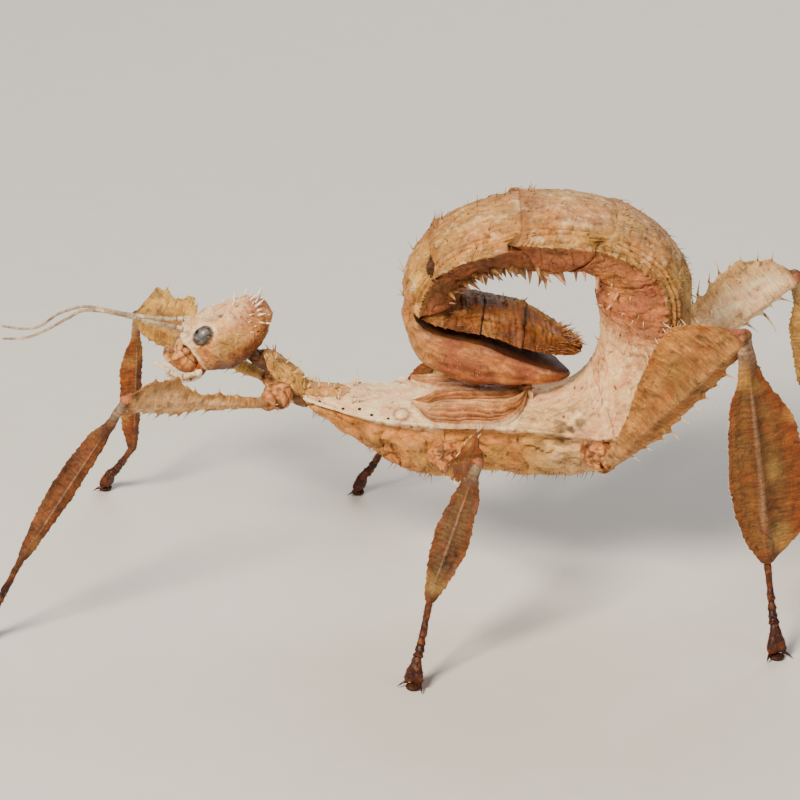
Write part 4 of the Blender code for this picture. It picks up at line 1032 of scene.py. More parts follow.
class MakeTail(bpy.types.Operator):
    """The last three rings and the boat-shaped plate under them"""

    bl_idname = "insect.tail"
    bl_label = "Tail end"

    def execute(self, context):
        sizes = context.scene.insect_sizes
        angle = side_angles(TAIL_COLUMNS)
        cosine, sine = np.cos(angle), np.sin(angle)
        places, girths, parts, numbers = [], [], [], []
        for number, (_, count) in enumerate(TAIL_RINGS):
            stretch, girth, part = ring_rows(count, 1.2 if number < 2 else 0.0)
            first, last = (knot + shift * np.abs(sine) for knot, shift in TAIL_MARGINS[number:number + 2])
            places.append(first + (last - first) * stretch[:, None])
            girths.append(girth * (tapered(part, 0.72) if number == 2 else 1.0))
            parts.append(part)
            numbers.append(np.full(len(part), number))
        places, girth, part = np.concatenate(places), np.concatenate(girths)[:, None], np.concatenate(parts)
        number = np.concatenate(numbers)
        rows = flow(TAIL_SECTIONS, places.ravel()).reshape(*places.shape, 7)
        flat = np.zeros(places.shape)
        centre = np.stack([rows[..., 0], flat, rows[..., 1]], axis=-1)
        back = unit(np.stack([rows[..., 2], flat, rows[..., 3]], axis=-1))
        half_width, height, depth = (rows[..., i] * girth for i in (4, 5, 6))
        pull = np.exp(-(sine / 0.12) ** 2)
        beat = (1.0 - np.abs(np.sin(part * math.pi * 6.0))) ** 2
        across = half_width * cosine + (0.35 + 0.35 * beat[:, None]) * girth * np.sign(cosine) * pull
        rise = np.where(sine < 0, depth, height) * sine
        places = centre + SIDE * across[..., None] + back * rise[..., None]
        normals = normals_of(places)
        fold = np.abs(angle - 0.5 * math.pi)[None, :]
        keel = bump(fold, 0.0, 0.09)
        side_keel = bump(fold, 0.75, 0.08) - bump(fold, 0.9, 0.06)
        ribs = (1.0 - np.abs(clouds(places * np.array((2.2, 0.5, 0.5)), 1.6, 5.0)) * 3.0) * (sine > 0.1)
        move = 0.3 * keel + 0.18 * side_keel + 0.1 * ribs + sizes.relief * (
            1.9 * clouds(places, 2.4, 3.0) + 1.0 * clouds(places, 0.8, 7.0))
        places = places + normals * move[..., None]
        big = clouds(places, 3.0, 2.0)
        small = clouds(places, 0.9, 6.0)
        livery = layered(
            places, "leaf",
            ("umber", ease(-big, -0.1, 0.4) * 0.5),
            ("tan", ease(big, -0.1, 0.5) * 0.5),
            ("rust", ease(small, 0.0, 0.5) * 0.4),
            ("rose", (sine < 0) * 0.6),
            ("straw", keel * 0.5),
            # Painted highlight on the raised parts and painted shade in the hollows
            ("straw", ease(move, 0.12, 0.4) * 0.5),
            ("dark", ease(-move, 0.08, 0.35) * 0.75),
            ("dark", ease(-big - small, 0.4, 0.9) * 0.3),
            ("dark", ((part >= 1.0) | (part < 0.03))[:, None] * 0.85),
        )
        skin = wrap_grid("tail_skin", places, livery)
        surface = skin_material("Dry cuticle, brown tail plates", 0.55, 0.28, (0.4, 1.6), 0.8, 0.6, 0.9)
        finish_piece(skin, surface, "terminal", *[name for name, _ in TAIL_RINGS])
        tail_thorns((places, normals_of(places)), number, part, sine)
        boat_plate(sizes)
        return {"FINISHED"}


def tail_thorns(skin, number, part, sine):
    rng = np.random.default_rng(SEED + 1)
    shown = ((part > 0.1) & (part < 0.97))[:, None] & (sine > 0.05)
    last = shown & (number == 2)[:, None]
    roof = shown & (sine > 0.97)
    thorns = scatter_all(
        skin, rng, TAIL_AHEAD,
        (shown, 70, (0.2, 0.6), (0.07, 0.11), 0.6),
        (roof, 22, (0.4, 0.9), (0.1, 0.15), 0.5),
        (last & (part > 0.55)[:, None], 70, (0.5, 1.5), (0.06, 0.1), 1.1, 0.3),
        (shown & (sine < 0.3), 40, (0.3, 0.7), (0.07, 0.11), 0.8),
    )
    horn = thorn_material("Horny thorn, brown", "#4A2410", "#8E5C34", "#1E0E06")
    plant("tail_thorns", (6, 4, 0.8), thorns, horn, "terminal")


def boat_plate(sizes):
    """The plate that holds the eggs: smooth, rosy and keeled, with a blunt tip."""
    part = np.linspace(0.0, 1.0, BOAT_ROWS)
    rows = flow(BOAT_SECTIONS, part * (len(BOAT_SECTIONS) - 1.0))
    girth = tapered(part, 0.86) * tapered(1.0 - part, 0.94)
    rim = np.stack([rows[:, 0], np.zeros(BOAT_ROWS), rows[:, 1]], axis=1)
    out = unit(np.stack([rows[:, 2], np.zeros(BOAT_ROWS), rows[:, 3]], axis=1))
    turn = side_angles(BOAT_COLUMNS)
    cosine, sine = np.cos(turn), np.sin(turn)
    across = (rows[:, 4] * girth)[:, None] * np.abs(cosine) ** 0.82 * np.sign(cosine)
    lid = 0.35 * np.minimum(rows[:, 5], 1.0)[:, None] * sine
    deep = np.where(sine > 0, (rows[:, 5] * girth)[:, None] * sine, lid)
    places = rim[:, None] + SIDE * across[..., None] + out[:, None] * deep[..., None]
    normals = normals_of(places)
    wave = 0.1 * np.sin(part[:, None] * 34.0 + 3.0 * clouds(places, 4.0, 12.0)) * (sine > 0.1)
    fold = np.abs(turn - 0.5 * math.pi)[None, :]
    keel = 0.25 * bump(fold, 0.0, 0.08) + 0.14 * bump(fold, 0.7, 0.1) - 0.14 * bump(fold, 0.9, 0.08)
    rim_bead = 0.2 * bump(np.abs(cosine), 1.0, 0.02)
    lumps = 1.5 * clouds(places, 2.6, 5.0) + 0.9 * clouds(places, 0.9, 2.0)
    move = wave + keel + rim_bead + sizes.relief * lumps
    places = places + normals * move[..., None]
    big = clouds(places, 3.6, 2.0)
    small = clouds(places, 0.9, 6.0)
    livery = layered(
        places, "rose",
        ("peach", ease(big, -0.2, 0.5) * 0.65),
        ("tan", ease(-places[..., 0], -6.5, -2.0) * 0.8),
        ("rust", ease(small + big, 0.25, 0.8) * 0.4),
        ("umber", ease(places[..., 0], 18.0, 21.5) * 0.5),
        # Painted shade in the hollows and painted highlight on the raised parts
        ("umber", ease(-move, 0.05, 0.3) * 0.5),
        ("bone", ease(move, 0.15, 0.45) * 0.35),
        ("umber", bump(sine, -0.05, 0.08) * 0.7),
        ("dark", (sine < -0.1) * 0.8),
    )
    skin = wrap_grid("boat_plate", places, livery)
    surface = skin_material("Dry cuticle, smooth rosy plate", 0.52, 0.24, (0.6, 3.5), 0.5, 0.45, 0.7)
    finish_piece(skin, surface, "tergite", "operculum")
    rng = np.random.default_rng(SEED + 7)
    shown = (sine > 0.1) & ((part > 0.05) & (part < 0.99))[:, None]
    shape = (places, normals_of(places))
    fine = scatter(shape, shown, 240, rng, (0.12, 0.35), (0.03, 0.05), TAIL_AHEAD, 0.7)
    brown = thorn_material("Fine bristle, rosy", "#8A5A3E", "#C9A07C", "#5A3820")
    plant("boat_bristles", (4, 3, 0.9), fine, brown, "tergite")


HEAD_BASE = np.array((-26.4, 0.0, 33.4))
HEAD_AXIS = unit(np.array((0.81, 0.0, 0.586)))
HEAD_CROWN = np.array((-HEAD_AXIS[2], 0.0, HEAD_AXIS[0]))

# Head: distance from the mouth end, half width, crown side, throat side
HEAD_SECTIONS = (
    (-0.3, 1.7, 2.4, 1.5),
    (0.4, 2.7, 3.5, 2.9),
    (1.6, 3.4, 3.9, 4.0),
    (3.4, 3.8, 3.8, 4.6),
    (5.4, 3.8, 3.4, 4.6),
    (7.4, 3.4, 2.8, 4.1),
    (9.0, 2.8, 2.1, 3.4),
    (10.3, 2.0, 1.6, 2.5),
    (11.2, 1.2, 0.8, 1.6),
)
HEAD_START = -0.3
HEAD_LENGTH = 11.5
HEAD_ROWS = 190
HEAD_COLUMNS = 168
EYE_PLACE = np.array((3.0, 3.3, 2.1))  # along the head, out to the side, towards the crown
EYE_SIZE = (1.42, 1.08, 0.8)  # along the head, up the cheek, out
EYE_SINK = 0.35

# Swellings and dents of the skull: place along, out and up, radius, height
HEAD_SWELLS = (
    ((3.0, 3.1, 2.1), 2.1, 0.4),
    ((3.0, 3.4, 2.1), 1.2, -0.6),
    ((0.1, 1.75, 2.9), 1.0, 0.55),
    ((5.6, 3.4, -1.2), 2.4, 0.3),
    ((1.0, 2.7, -2.2), 1.1, 0.35),
    ((3.6, 2.6, -3.6), 1.3, 0.2),
    ((1.4, 0.9, 3.9), 0.7, -0.25),
    ((9.6, 1.0, 2.0), 1.0, 0.35),
    ((8.2, 1.7, 2.6), 0.8, 0.25),
    ((7.0, 0.9, 3.2), 0.7, 0.2),
)

# Dark pores: place along, out and up, and radius
HEAD_PORES = ((6.2, 2.0, 2.6, 0.3), (4.6, 2.9, 2.1, 0.14), (7.9, 3.0, 0.4, 0.16), (6.9, 3.3, -1.9, 0.14),
        (5.0, 3.6, -3.0, 0.16), (8.9, 2.4, -1.8, 0.14), (4.0, 1.4, 3.6, 0.2), (8.4, 1.3, 2.2, 0.2),
        (5.8, 3.5, 0.6, 0.12), (6.6, 3.4, -0.6, 0.12), (7.4, 3.2, -0.9, 0.12), (4.9, 3.8, -1.2, 0.12))

# Thorns of the crown: place along the head, degrees from the crown, length
CROWN_THORNS = (
    (6.4, 30, 0.9), (8.0, 16, 1.3), (8.2, 58, 1.0), (9.2, 36, 1.5), (10.1, 14, 1.4),
    (10.5, 52, 2.1), (10.2, 92, 1.4), (10.2, 132, 1.2), (9.4, 70, 0.9), (9.8, 110, 0.9),
    (7.2, 44, 0.6), (5.2, 24, 0.5), (8.8, 88, 0.6), (10.6, 30, 0.9), (10.4, 74, 1.1),
)


def head_point(along, out, up):
    return HEAD_BASE + HEAD_AXIS * along + SIDE * out + HEAD_CROWN * up


class MakeHead(bpy.types.Operator):
    """The skull with its crown of thorns"""

    bl_idname = "insect.head"
    bl_label = "Head"

    def execute(self, context):
        sizes = context.scene.insect_sizes
        along = HEAD_START + HEAD_LENGTH * (0.5 - 0.5 * np.cos(np.linspace(0.0, math.pi, HEAD_ROWS)))
        rows = table_at(HEAD_SECTIONS, along, smooth=24)
        angle = np.linspace(0.0, 2.0 * math.pi, HEAD_COLUMNS + 1)
        cosine, sine = np.cos(angle), np.sin(angle)
        across = rows[:, 0][:, None] * np.sign(cosine) * np.abs(cosine) ** 0.95
        rise = np.where(sine > 0, rows[:, 1][:, None], rows[:, 2][:, None]) * sine
        places = (HEAD_BASE + HEAD_AXIS * along[:, None])[:, None] + SIDE * across[..., None]
        places = places + HEAD_CROWN * rise[..., None]
        normals = normals_of(places)
        local = np.stack([np.broadcast_to(along[:, None], rise.shape), np.abs(across), rise], axis=-1)
        move = np.zeros(rise.shape)
        for centre, radius, height in HEAD_SWELLS:
            move = move + height * np.exp(-(distance(local, centre) / radius) ** 2)
        pores = sum(bump(distance(local, spot), 0.0, radius) for *spot, radius in HEAD_PORES)
        seam = bump(local[..., 1], 0.0, 0.12) * (rise > 0) * ease(along, 2.0, 4.0)[:, None]
        edge_line = local[..., 0] - 0.08 * local[..., 2]
        cheek = 1.0 - ease(edge_line, 0.1, 0.3)
        cheek_rim = bump(edge_line, 0.6, 0.3)
        brow = bump(local[..., 2] - 0.28 * local[..., 0], 2.1, 0.22) * (1.0 - ease(along, 3.5, 7.0)[:, None])
        relief = (1.2 * clouds(places, 1.8, 2.0) + 0.9 * clouds(places, 0.6, 8.0)) * sizes.relief
        wrinkle = np.abs(clouds(places * np.array((0.7, 1.0, 1.0)), 1.1, 30.0))
        carve = relief - 0.2 * seam - 0.24 * cheek + 0.16 * cheek_rim + 0.2 * brow - 0.14 * pores
        carve = carve - 0.1 * (wrinkle < 0.035)
        places = places + normals * (move + carve)[..., None]
        normals = normals_of(places)
        livery = head_livery(places, local, carve, pores, cheek, cheek_rim, brow)
        skin = wrap_grid("head_skin", places, livery)
        surface = skin_material("Dry cuticle, warm head", 0.46, 0.16, (0.35, 1.4), 0.45, 0.2, 0.6)
        finish_piece(skin, surface, "plate", "head")
        head_thorns((places, normals), along, angle, local)
        return {"FINISHED"}


def head_livery(places, local, carve, pores, cheek, cheek_rim, brow):
    ahead, up = local[..., 0], local[..., 2]
    big = clouds(places, 2.6, 4.0)
    mid = clouds(places, 1.2, 9.0)
    small = clouds(places, 0.5, 2.0)
    rear = ease(ahead, 4.0, 9.5)
    low = ease(-up, 0.2, 3.0)
    to_eye = np.linalg.norm((local - EYE_PLACE) / np.array((1.25, 1.0, 1.0)), axis=-1)
    high = ease(up, 1.2, 3.0)
    return layered(
        places, "peach",
        ("cream", ease(big, -0.1, 0.5) * 0.5),
        ("straw", bump(up, -0.2, 1.7) * bump(ahead, 5.2, 2.6) * 0.95),
        ("olive", bump(up, -0.4, 0.9) * bump(ahead, 5.4, 1.6) * 0.3),
        ("rose", rear * ease(up, -1.5, 1.0) * 0.75),
        ("rose", bump(up, 0.2, 1.0) * bump(ahead, 2.0, 1.6) * 0.4),
        ("ochre", rear * low * 0.85),
        ("rust", low * ease(mid, -0.3, 0.3) * 0.7),
        # Painted shade on the underside of the head
        ("umber", ease(-up, 1.9, 3.8) * 0.85),
        # Painted light on the top of the head
        ("cream", high * 0.75),
        ("bone", high * ease(mid, -0.3, 0.3) * 0.7),
        ("cream", bump(up, 1.6, 1.2) * bump(ahead, 8.0, 2.0) * 0.5),
        # Painted shade on the lower front of the head
        ("umber", ease(-up, 0.2, 2.6) * (1.0 - ease(ahead, 1.5, 6.5)) * 0.85),
        ("rose", ease(small, 0.1, 0.5) * 0.35),
        ("umber", bump(to_eye, 1.9, 0.9) * ease(mid, -0.2, 0.3) * 0.4),
        ("bone", bump(to_eye, 1.5, 0.2) * (up > 1.2) * 0.6),
        ("dark", (to_eye < 1.25) * 0.75),
        ("umber", (1.0 - ease(ahead, -0.2, 2.4)) * 0.35),
        ("bone", cheek_rim * 0.6 * (1.0 - 0.85 * low)),
        ("bone", brow * 0.5),
        ("dark", cheek * 0.7),
        # Painted shade in the carved hollows of the skull
        ("umber", ease(-carve, 0.06, 0.2) * 0.45),
        ("dark", np.clip(pores * 1.3, 0.0, 0.75)),
    )


def head_thorns(skin, along, angle, local):
    rng = np.random.default_rng(SEED + 2)
    big = []
    for place, degrees, length in CROWN_THORNS:
        for mirror in (-1.0, 1.0):
            row = nearest(along, place)
            turn = math.radians(90.0 + mirror * degrees)
            column = nearest(angle, turn % (2 * math.pi))
            towards = skin[1][row, column] + HEAD_AXIS * 0.45 + rng.normal(0.0, 0.1, 3)
            grown = length * rng.uniform(0.9, 1.15)
            radius = 0.07 + 0.085 * grown
            big.append(thorn_at(skin, row, column, towards, grown, radius, rng.normal(0.0, 0.22)))
    crown = (local[..., 0] > 4.5) & (local[..., 2] > -1.5)
    big += scatter(skin, crown, 40, rng, (0.2, 0.55), (0.06, 0.1), HEAD_AXIS, 0.5)
    bare = distance(local, EYE_PLACE) > 1.7
    fine = scatter(skin, (local[..., 0] > 0.5) & bare, 520, rng, (0.08, 0.22), (0.02, 0.04), HEAD_AXIS, 0.4)
    white = thorn_material("Horny thorn, white crown", "#C09468", "#F4EADA", "#A98D6C")
    pale = thorn_material("Fine bristle, pale", "#B48A60", "#E0C8A4", "#8A6A48")
    plant("crown_thorns", (8, 6, 0.8), big, white, "plate")
    plant("head_bristles", (4, 3, 0.9), fine, pale, "plate")


class MakeEyes(bpy.types.Operator):
    """Two faceted eyes set in their sockets"""

    bl_idname = "insect.eyes"
    bl_label = "Eyes"

    def execute(self, context):
        surface = eye_material()
        for name, mirror in (("eye_left", -1.0), ("eye_right", 1.0)):
            eye, points = add_ball(name + "_facets", 64, 40)
            place = head_point(EYE_PLACE[0], (EYE_PLACE[1] - EYE_SINK) * mirror, EYE_PLACE[2])
            outward = unit(SIDE * mirror + HEAD_CROWN * 0.5)
            forward = unit(HEAD_AXIS - outward * HEAD_AXIS.dot(outward))
            up = np.cross(outward, forward)
            shaped = (place + outward * points[:, 2:3] * EYE_SIZE[2] + forward * points[:, 0:1] * EYE_SIZE[0]
                      + up * points[:, 1:2] * EYE_SIZE[1])
            eye.data.vertices.foreach_set("co", metres(shaped).astype(np.float32).ravel())
            close_up(eye)
            finish_piece(eye, surface, "eye", name)
        return {"FINISHED"}


def tube_rows(path, radii, columns, hint=UP):
    """Round sections along a path."""
    path = np.asarray(path, float)
    axis = unit(np.gradient(path, axis=0))
    first = unit(np.asarray(hint) - axis * (axis @ np.asarray(hint))[:, None])
    second = np.cross(axis, first)
    turn = np.linspace(0.0, 2.0 * math.pi, columns + 1)
    wide = np.asarray(radii)[:, None, None]
    return (path[:, None] + first[:, None] * np.cos(turn)[None, :, None] * wide
            + second[:, None] * np.sin(turn)[None, :, None] * wide)


FEELERS = {
    "antenna_left": ((-26.6, -1.6, 36.7), (-27.3, -1.7, 37.1), (-28.6, -2.1, 37.6), (-30.6, -2.6, 38.3),
        (-33.0, -3.1, 39.1), (-36.0, -3.6, 40.1), (-38.2, -3.8, 40.6), (-40.4, -4.0, 40.7),
        (-42.3, -4.1, 39.7), (-45.6, -4.3, 37.9), (-48.0, -4.4, 37.1), (-50.7, -4.6, 37.1)),
    "antenna_right": ((-26.6, 1.6, 36.9), (-27.3, 1.7, 37.2), (-28.6, 2.2, 37.0), (-30.6, 2.8, 36.8),
        (-33.7, 3.2, 37.0), (-36.6, 3.5, 37.4), (-39.7, 3.7, 38.0), (-41.6, 3.7, 38.0),
        (-44.3, 3.6, 37.1), (-46.7, 3.4, 35.5), (-48.9, 3.2, 35.2), (-51.8, 3.0, 35.7)),
}
FEELER_ROWS = 360
FEELER_COLUMNS = 16
FEELER_RINGS = 26
FEELER_RADII = (0.31, 0.15)


class MakeFeelers(bpy.types.Operator):
    """Ringed feelers with a stout first joint and fine bristles"""

    bl_idname = "insect.feelers"
    bl_label = "Feelers"

    def execute(self, context):
        surface = skin_material("Chitin, pale ringed feeler", 0.5, 0.08, (0.3, 1.2), 0.3, 0.2, 0.6)
        hair = thorn_material("Fine bristle, feeler", "#A99883", "#D9CDBB", "#8A7C6C")
        rng = np.random.default_rng(SEED + 3)
        for name, points in FEELERS.items():
            part = np.linspace(0.0, 1.0, FEELER_ROWS)
            path = flow(points, part * (len(points) - 1.0))
            radius = FEELER_RADII[0] + (FEELER_RADII[1] - FEELER_RADII[0]) * part ** 0.7
            scape = ease(part, 0.02, 0.04) * (1.0 - ease(part, 0.115, 0.135))
            pedicel = ease(part, 0.14, 0.15) * (1.0 - ease(part, 0.185, 0.195))
            ring = (part * FEELER_RINGS) % 1.0
            swell = 0.9 + 0.16 * ease(ring, 0.1, 0.75) - 0.2 * ease(ring, 0.93, 0.99)
            radius = radius * np.where(part > 0.2, swell, 0.95) + 0.16 * scape + 0.05 * pedicel
            radius[-6:] *= np.linspace(1.0, 0.15, 6)
            places = tube_rows(path, radius, FEELER_COLUMNS)
            joint = (ease(ring, 0.88, 0.97) * (part > 0.2))[:, None]
            livery = layered(
                places, "feeler",
                ("bone", (scape + 0.6 * pedicel)[:, None] * 0.8),
                ("umber", joint * 0.75),
                ("bone", ease(clouds(places, 1.1, 3.0), 0.0, 0.4) * 0.45),
                ("umber", ease(-clouds(places, 0.8, 6.0), 0.1, 0.4) * 0.45),
                ("dark", (bump(part, 0.137, 0.006) + bump(part, 0.19, 0.006))[:, None] * 0.8),
            )
            side = name.split("_")[1]
            piece = wrap_grid("feeler_" + side, places, livery)
            finish_piece(piece, surface, "feeler", name)
            allowed = (part > 0.04)[:, None] & np.ones(places.shape[:2], bool)
            ahead = unit(path[-1] - path[0])
            skin = (places, normals_of(places))
            fine = scatter(skin, allowed, 260, rng, (0.12, 0.3), (0.02, 0.032), ahead, 0.7, sink=0.05)
            plant("feeler_bristles_" + side, (4, 2, 0.9), fine, hair, "feeler")
        return {"FINISHED"}


# Mouth plates: name, centre along, out and up from the head base, half sizes, tilt in degrees
MOUTH_PLATES = (
    ("clypeus", (-0.9, 0.0, 2.1), (0.9, 1.9, 0.65), 34.0, "cream"),
    ("labrum", (-2.8, 0.0, 0.8), (0.6, 1.75, 1.7), 14.0, "tan"),
    ("mandible", (-1.45, 1.1, 0.3), (1.6, 1.3, 1.8), 8.0, "peach"),
    ("maxilla", (-0.6, 1.35, -1.7), (1.6, 0.6, 0.6), 20.0, "rust"),
    ("galea", (-1.9, 0.75, -1.8), (1.2, 0.45, 0.45), 26.0, "umber"),
    ("labium", (-0.6, 0.5, -2.5), (1.6, 0.6, 0.4), 20.0, "umber"),
)

PALPS = {
    "palp_left": ((-25.6, -1.9, 31.4), (-26.4, -2.3, 31.2), (-28.0, -2.9, 31.2), (-29.6, -3.2, 32.0),
        (-31.6, -3.2, 33.4)),
    "palp_right": ((-25.5, 1.9, 31.0), (-26.3, 2.3, 30.8), (-27.8, 2.9, 30.2), (-29.4, 3.1, 30.0),
        (-31.2, 3.1, 30.2)),
}
INNER_PALPS = (
    ((-25.6, -1.2, 30.7), (-27.0, -1.7, 30.1), (-28.6, -2.0, 30.2), (-30.2, -2.1, 31.2)),
    ((-25.6, 1.2, 30.7), (-27.0, 1.7, 30.1), (-28.4, 1.9, 29.9), (-29.8, 2.0, 30.4)),
)


class MakeMouth(bpy.types.Operator):
    """Lip, jaws and their palps"""

    bl_idname = "insect.mouth"
    bl_label = "Mouth"

    def execute(self, context):
        surface = skin_material("Chitin, satin mouth plates", 0.42, 0.12, (0.4, 1.2), 0.6, 0.5, 0.8)
        made = []
        for name, centre, half_sizes, tilt, colour in MOUTH_PLATES:
            for mirror in (-1.0, 1.0) if centre[1] else (1.0,):
                made.append(mouth_plate(name, centre, half_sizes, tilt, mirror, colour))
        deselect()
        for plate in made:
            plate.select_set(True)
        bpy.context.view_layer.objects.active = made[0]
        bpy.ops.object.join()
        made[0].name = "mouth_plates"
        finish_piece(made[0], surface, "mouth", "mouthparts")
        pale = skin_material("Chitin, ivory palp", 0.45, 0.1, (0.4, 1.2), 0.5, 0.2, 0.6)
        for name, points in PALPS.items():
            finish_piece(palp_piece(name + "_joints", points, (0.42, 0.26), 4), pale, "mouth", name)
        for number, points in enumerate(INNER_PALPS):
            finish_piece(palp_piece(f"inner_palp_{number}", points, (0.33, 0.2), 3), pale, "mouth")
        return {"FINISHED"}


def mouth_plate(name, centre, half_sizes, tilt, mirror, colour):
    """A rounded plate shaped from a sphere, its biting edge dark."""
    piece, points = add_ball(name, 56, 40)
    blunt = 0.62 if name in ("clypeus", "labrum") else 0.85
    squared = np.sign(points) * np.abs(points) ** blunt
    turn = math.radians(tilt)
    x, y, z = (squared[:, i] * half_sizes[i] for i in range(3))
    x, z = x * math.cos(turn) - z * math.sin(turn), x * math.sin(turn) + z * math.cos(turn)
    places = (head_point(centre[0], centre[1] * mirror, centre[2]) + HEAD_AXIS * x[:, None]
              + SIDE * (y * mirror)[:, None] + HEAD_CROWN * z[:, None])
    lumps = 0.05 * clouds(places, 0.7, 3.0) + 0.08 * clouds(places, 1.6, 1.0)
    groove = np.zeros(len(points))
    if name == "mandible":
        slant = bump(points[:, 2] + 0.4 * points[:, 0], 0.42, 0.06)
        groove = np.maximum(slant, bump(points[:, 0], 0.5, 0.07))
    if name == "labrum":
        groove = 2.2 * bump(points[:, 1], 0.0, 0.14) * ease(-points[:, 2], 0.1, 0.6)
    places = places + points * (lumps - 0.16 * groove)[:, None]
    bite = ease(-points[:, 0], 0.35, 0.9)
    dark_bite = {"labrum": 0.6, "mandible": 0.6}.get(name, 0.2)
    livery = layered(
        places, colour,
        ("cream", ease(clouds(places, 0.9, 5.0), 0.0, 0.5) * 0.5),
        ("ochre", ease(-clouds(places, 1.1, 15.0), -0.1, 0.4) * 0.6),
        ("rust", ease(clouds(places, 0.5, 9.0), 0.0, 0.4) * 0.7),
        ("rose", ease(-points[:, 2], 0.0, 0.8) * 0.6),
        ("dark", bite * dark_bite),
        ("dark", np.minimum(groove, 1.0) * 0.8),
        ("dark", ease(np.abs(points[:, 2]), 0.7, 1.0) * 0.6),
    )
    return lay_skin(piece, places, livery, places)


def palp_piece(name, points, radii, joints):
    part = np.linspace(0.0, 1.0, 110)
    path = flow(points, part * (len(points) - 1.0))
    ring = (part * joints) % 1.0
    swell = 0.78 + 0.3 * ease(ring, 0.0, 0.6) - 0.3 * ease(ring, 0.88, 1.0)
    radius = (radii[0] + (radii[1] - radii[0]) * part) * swell
    radius[-8:] *= np.sqrt(np.linspace(1.0, 0.02, 8))
    places = tube_rows(path, radius, 22)
    joint = (ease(ring, 0.88, 1.0) + 1.0 - ease(ring, 0.0, 0.1))[:, None]
    livery = layered(
        places, "bone",
        ("rose", ease(clouds(places, 0.8, 2.0), -0.1, 0.4) * 0.5),
        ("umber", joint * 0.8 * (part > 0.05)[:, None]),
    )
    return wrap_grid(name, places, livery)


# Legs: coxa root and tip, knee, ankle, foot, and the sides that the flats of thigh and shin face
LEGS = {
    "fore_left": ((-14.9, -2.3, 28.6), (-17.3, -5.6, 28.6), (-34.4, -14.5, 32.8), (-48.1, -16.0, 11.7),
        (-53.6, -17.4, 0.0), (0.1, -0.9, -0.35), (0.1, -0.93, 0.35)),
    "fore_right": ((-14.9, 2.3, 28.4), (-17.4, 5.6, 27.2), (-35.5, 20.0, 30.0), (-37.2, 25.6, 7.8),
        (-40.9, 28.2, 0.0), (0.1, 0.9, -0.35), (-0.35, 0.87, -0.35)),
    "mid_left": ((5.2, -4.0, 21.6), (6.2, -8.0, 20.6), (9.7, -22.2, 27.9), (3.7, -26.0, 10.6),
        (1.9, -29.0, 0.0), (-0.91, -0.01, 0.40), (-0.3, -0.9, 0.3)),
    "mid_right": ((5.2, 4.0, 21.6), (5.4, 8.0, 20.6), (5.6, 21.4, 25.0), (-1.6, 25.2, 9.2),
        (-5.4, 27.0, 0.0), (-0.91, 0.01, 0.40), (-0.3, 0.9, 0.3)),
    "hind_left": ((25.0, -4.6, 22.0), (26.6, -8.9, 21.6), (42.2, -19.2, 43.6), (46.6, -17.4, 12.0),
        (47.8, -21.0, 0.0), (0.2, -0.92, 0.35), (0.2, -0.92, 0.35)),
    "hind_right": ((25.0, 4.6, 22.0), (27.4, 8.9, 21.8), (52.0, 12.5, 38.7), (61.0, 22.4, 11.0),
        (64.0, 25.0, 0.0), (0.3, 0.85, 0.6), (0.2, 0.92, 0.35)),
}

# Leaf outlines: share of the length, reach on the outer side of the knee and on the inner
THIGH_OUTLINES = {
    "fore": ((0.0, 0.7, 0.7), (0.25, 1.0, 0.9), (0.5, 1.7, 1.7), (0.62, 2.5, 1.9), (0.7, 4.3, 1.9),
        (0.8, 3.9, 2.1), (0.9, 4.2, 2.0), (0.95, 2.6, 1.4), (1.0, 0.8, 0.8)),
    "fore_right": ((0.0, 0.7, 0.7), (0.25, 1.0, 0.9), (0.5, 1.8, 1.7), (0.6, 3.0, 1.9), (0.67, 5.6, 2.0),
        (0.8, 4.2, 2.2), (0.9, 4.6, 2.0), (0.95, 4.6, 1.6), (1.0, 0.9, 0.8)),
    "mid": ((0.0, 0.7, 0.7), (0.2, 1.2, 1.2), (0.45, 2.6, 1.9), (0.65, 4.6, 2.3), (0.8, 3.6, 2.2),
        (0.92, 1.8, 1.5), (1.0, 0.8, 0.8)),
    "hind": ((0.0, 0.9, 0.9), (0.12, 1.4, 1.5), (0.28, 2.7, 2.1), (0.47, 5.0, 2.1), (0.7, 7.1, 2.0),
        (0.83, 7.2, 1.5), (0.94, 4.9, 1.0), (1.0, 2.4, 0.9)),
}
SHIN_OUTLINES = {
    "fore": ((0.0, 0.55, 0.55), (0.16, 0.6, 0.6), (0.24, 1.4, 0.9), (0.4, 1.9, 1.0), (0.6, 2.0, 1.1),
        (0.8, 1.5, 0.9), (0.94, 0.9, 0.8), (1.0, 0.6, 0.6)),
    "mid": ((0.0, 0.6, 0.6), (0.1, 0.7, 0.7), (0.25, 1.7, 1.6), (0.5, 2.4, 2.3), (0.75, 2.0, 1.9),
        (0.93, 1.0, 1.0), (1.0, 0.6, 0.6)),
    "hind": ((0.0, 0.9, 0.9), (0.13, 1.4, 1.1), (0.2, 2.1, 1.6), (0.27, 3.3, 2.6), (0.38, 5.2, 3.2),
        (0.62, 6.1, 4.0), (0.78, 5.8, 3.4), (0.9, 4.6, 2.5), (0.97, 2.5, 1.4), (1.0, 1.0, 0.9)),
}
CORE_RADIUS = {"fore": 0.75, "mid": 0.7, "hind": 1.0}
LEAF_EDGE = 0.17  # half the thickness of a leafy edge
LEG_COLUMNS = 88
COXA_OUTLINE = ((0.0, 1.7), (0.3, 2.15), (0.55, 1.95), (0.68, 1.3), (0.74, 1.15), (0.84, 1.5),
                (0.93, 1.4), (1.0, 1.0))  # share of the length, radius
COXA_SIZES = {"fore": (0.88, 0.0), "mid": (1.0, 0.0), "hind": (1.2, 0.8)}  # girth, lift of the ball
HIP_ROWS, KNEE_ROWS = 5, 4  # rows of a blade that its joints stand in for
SPINE_SIZES = {"fore": 0.8, "mid": 0.8, "hind": 1.6}  # on the teeth of the thigh
SHIN_SPINE_SIZE = 0.25
THIGH_BARE, SHIN_BARE = 25, (20, 14)  # rows near the joints that grow no thorns
BLADE_ROWS = {"fore": 210, "mid": 190, "hind": 280}

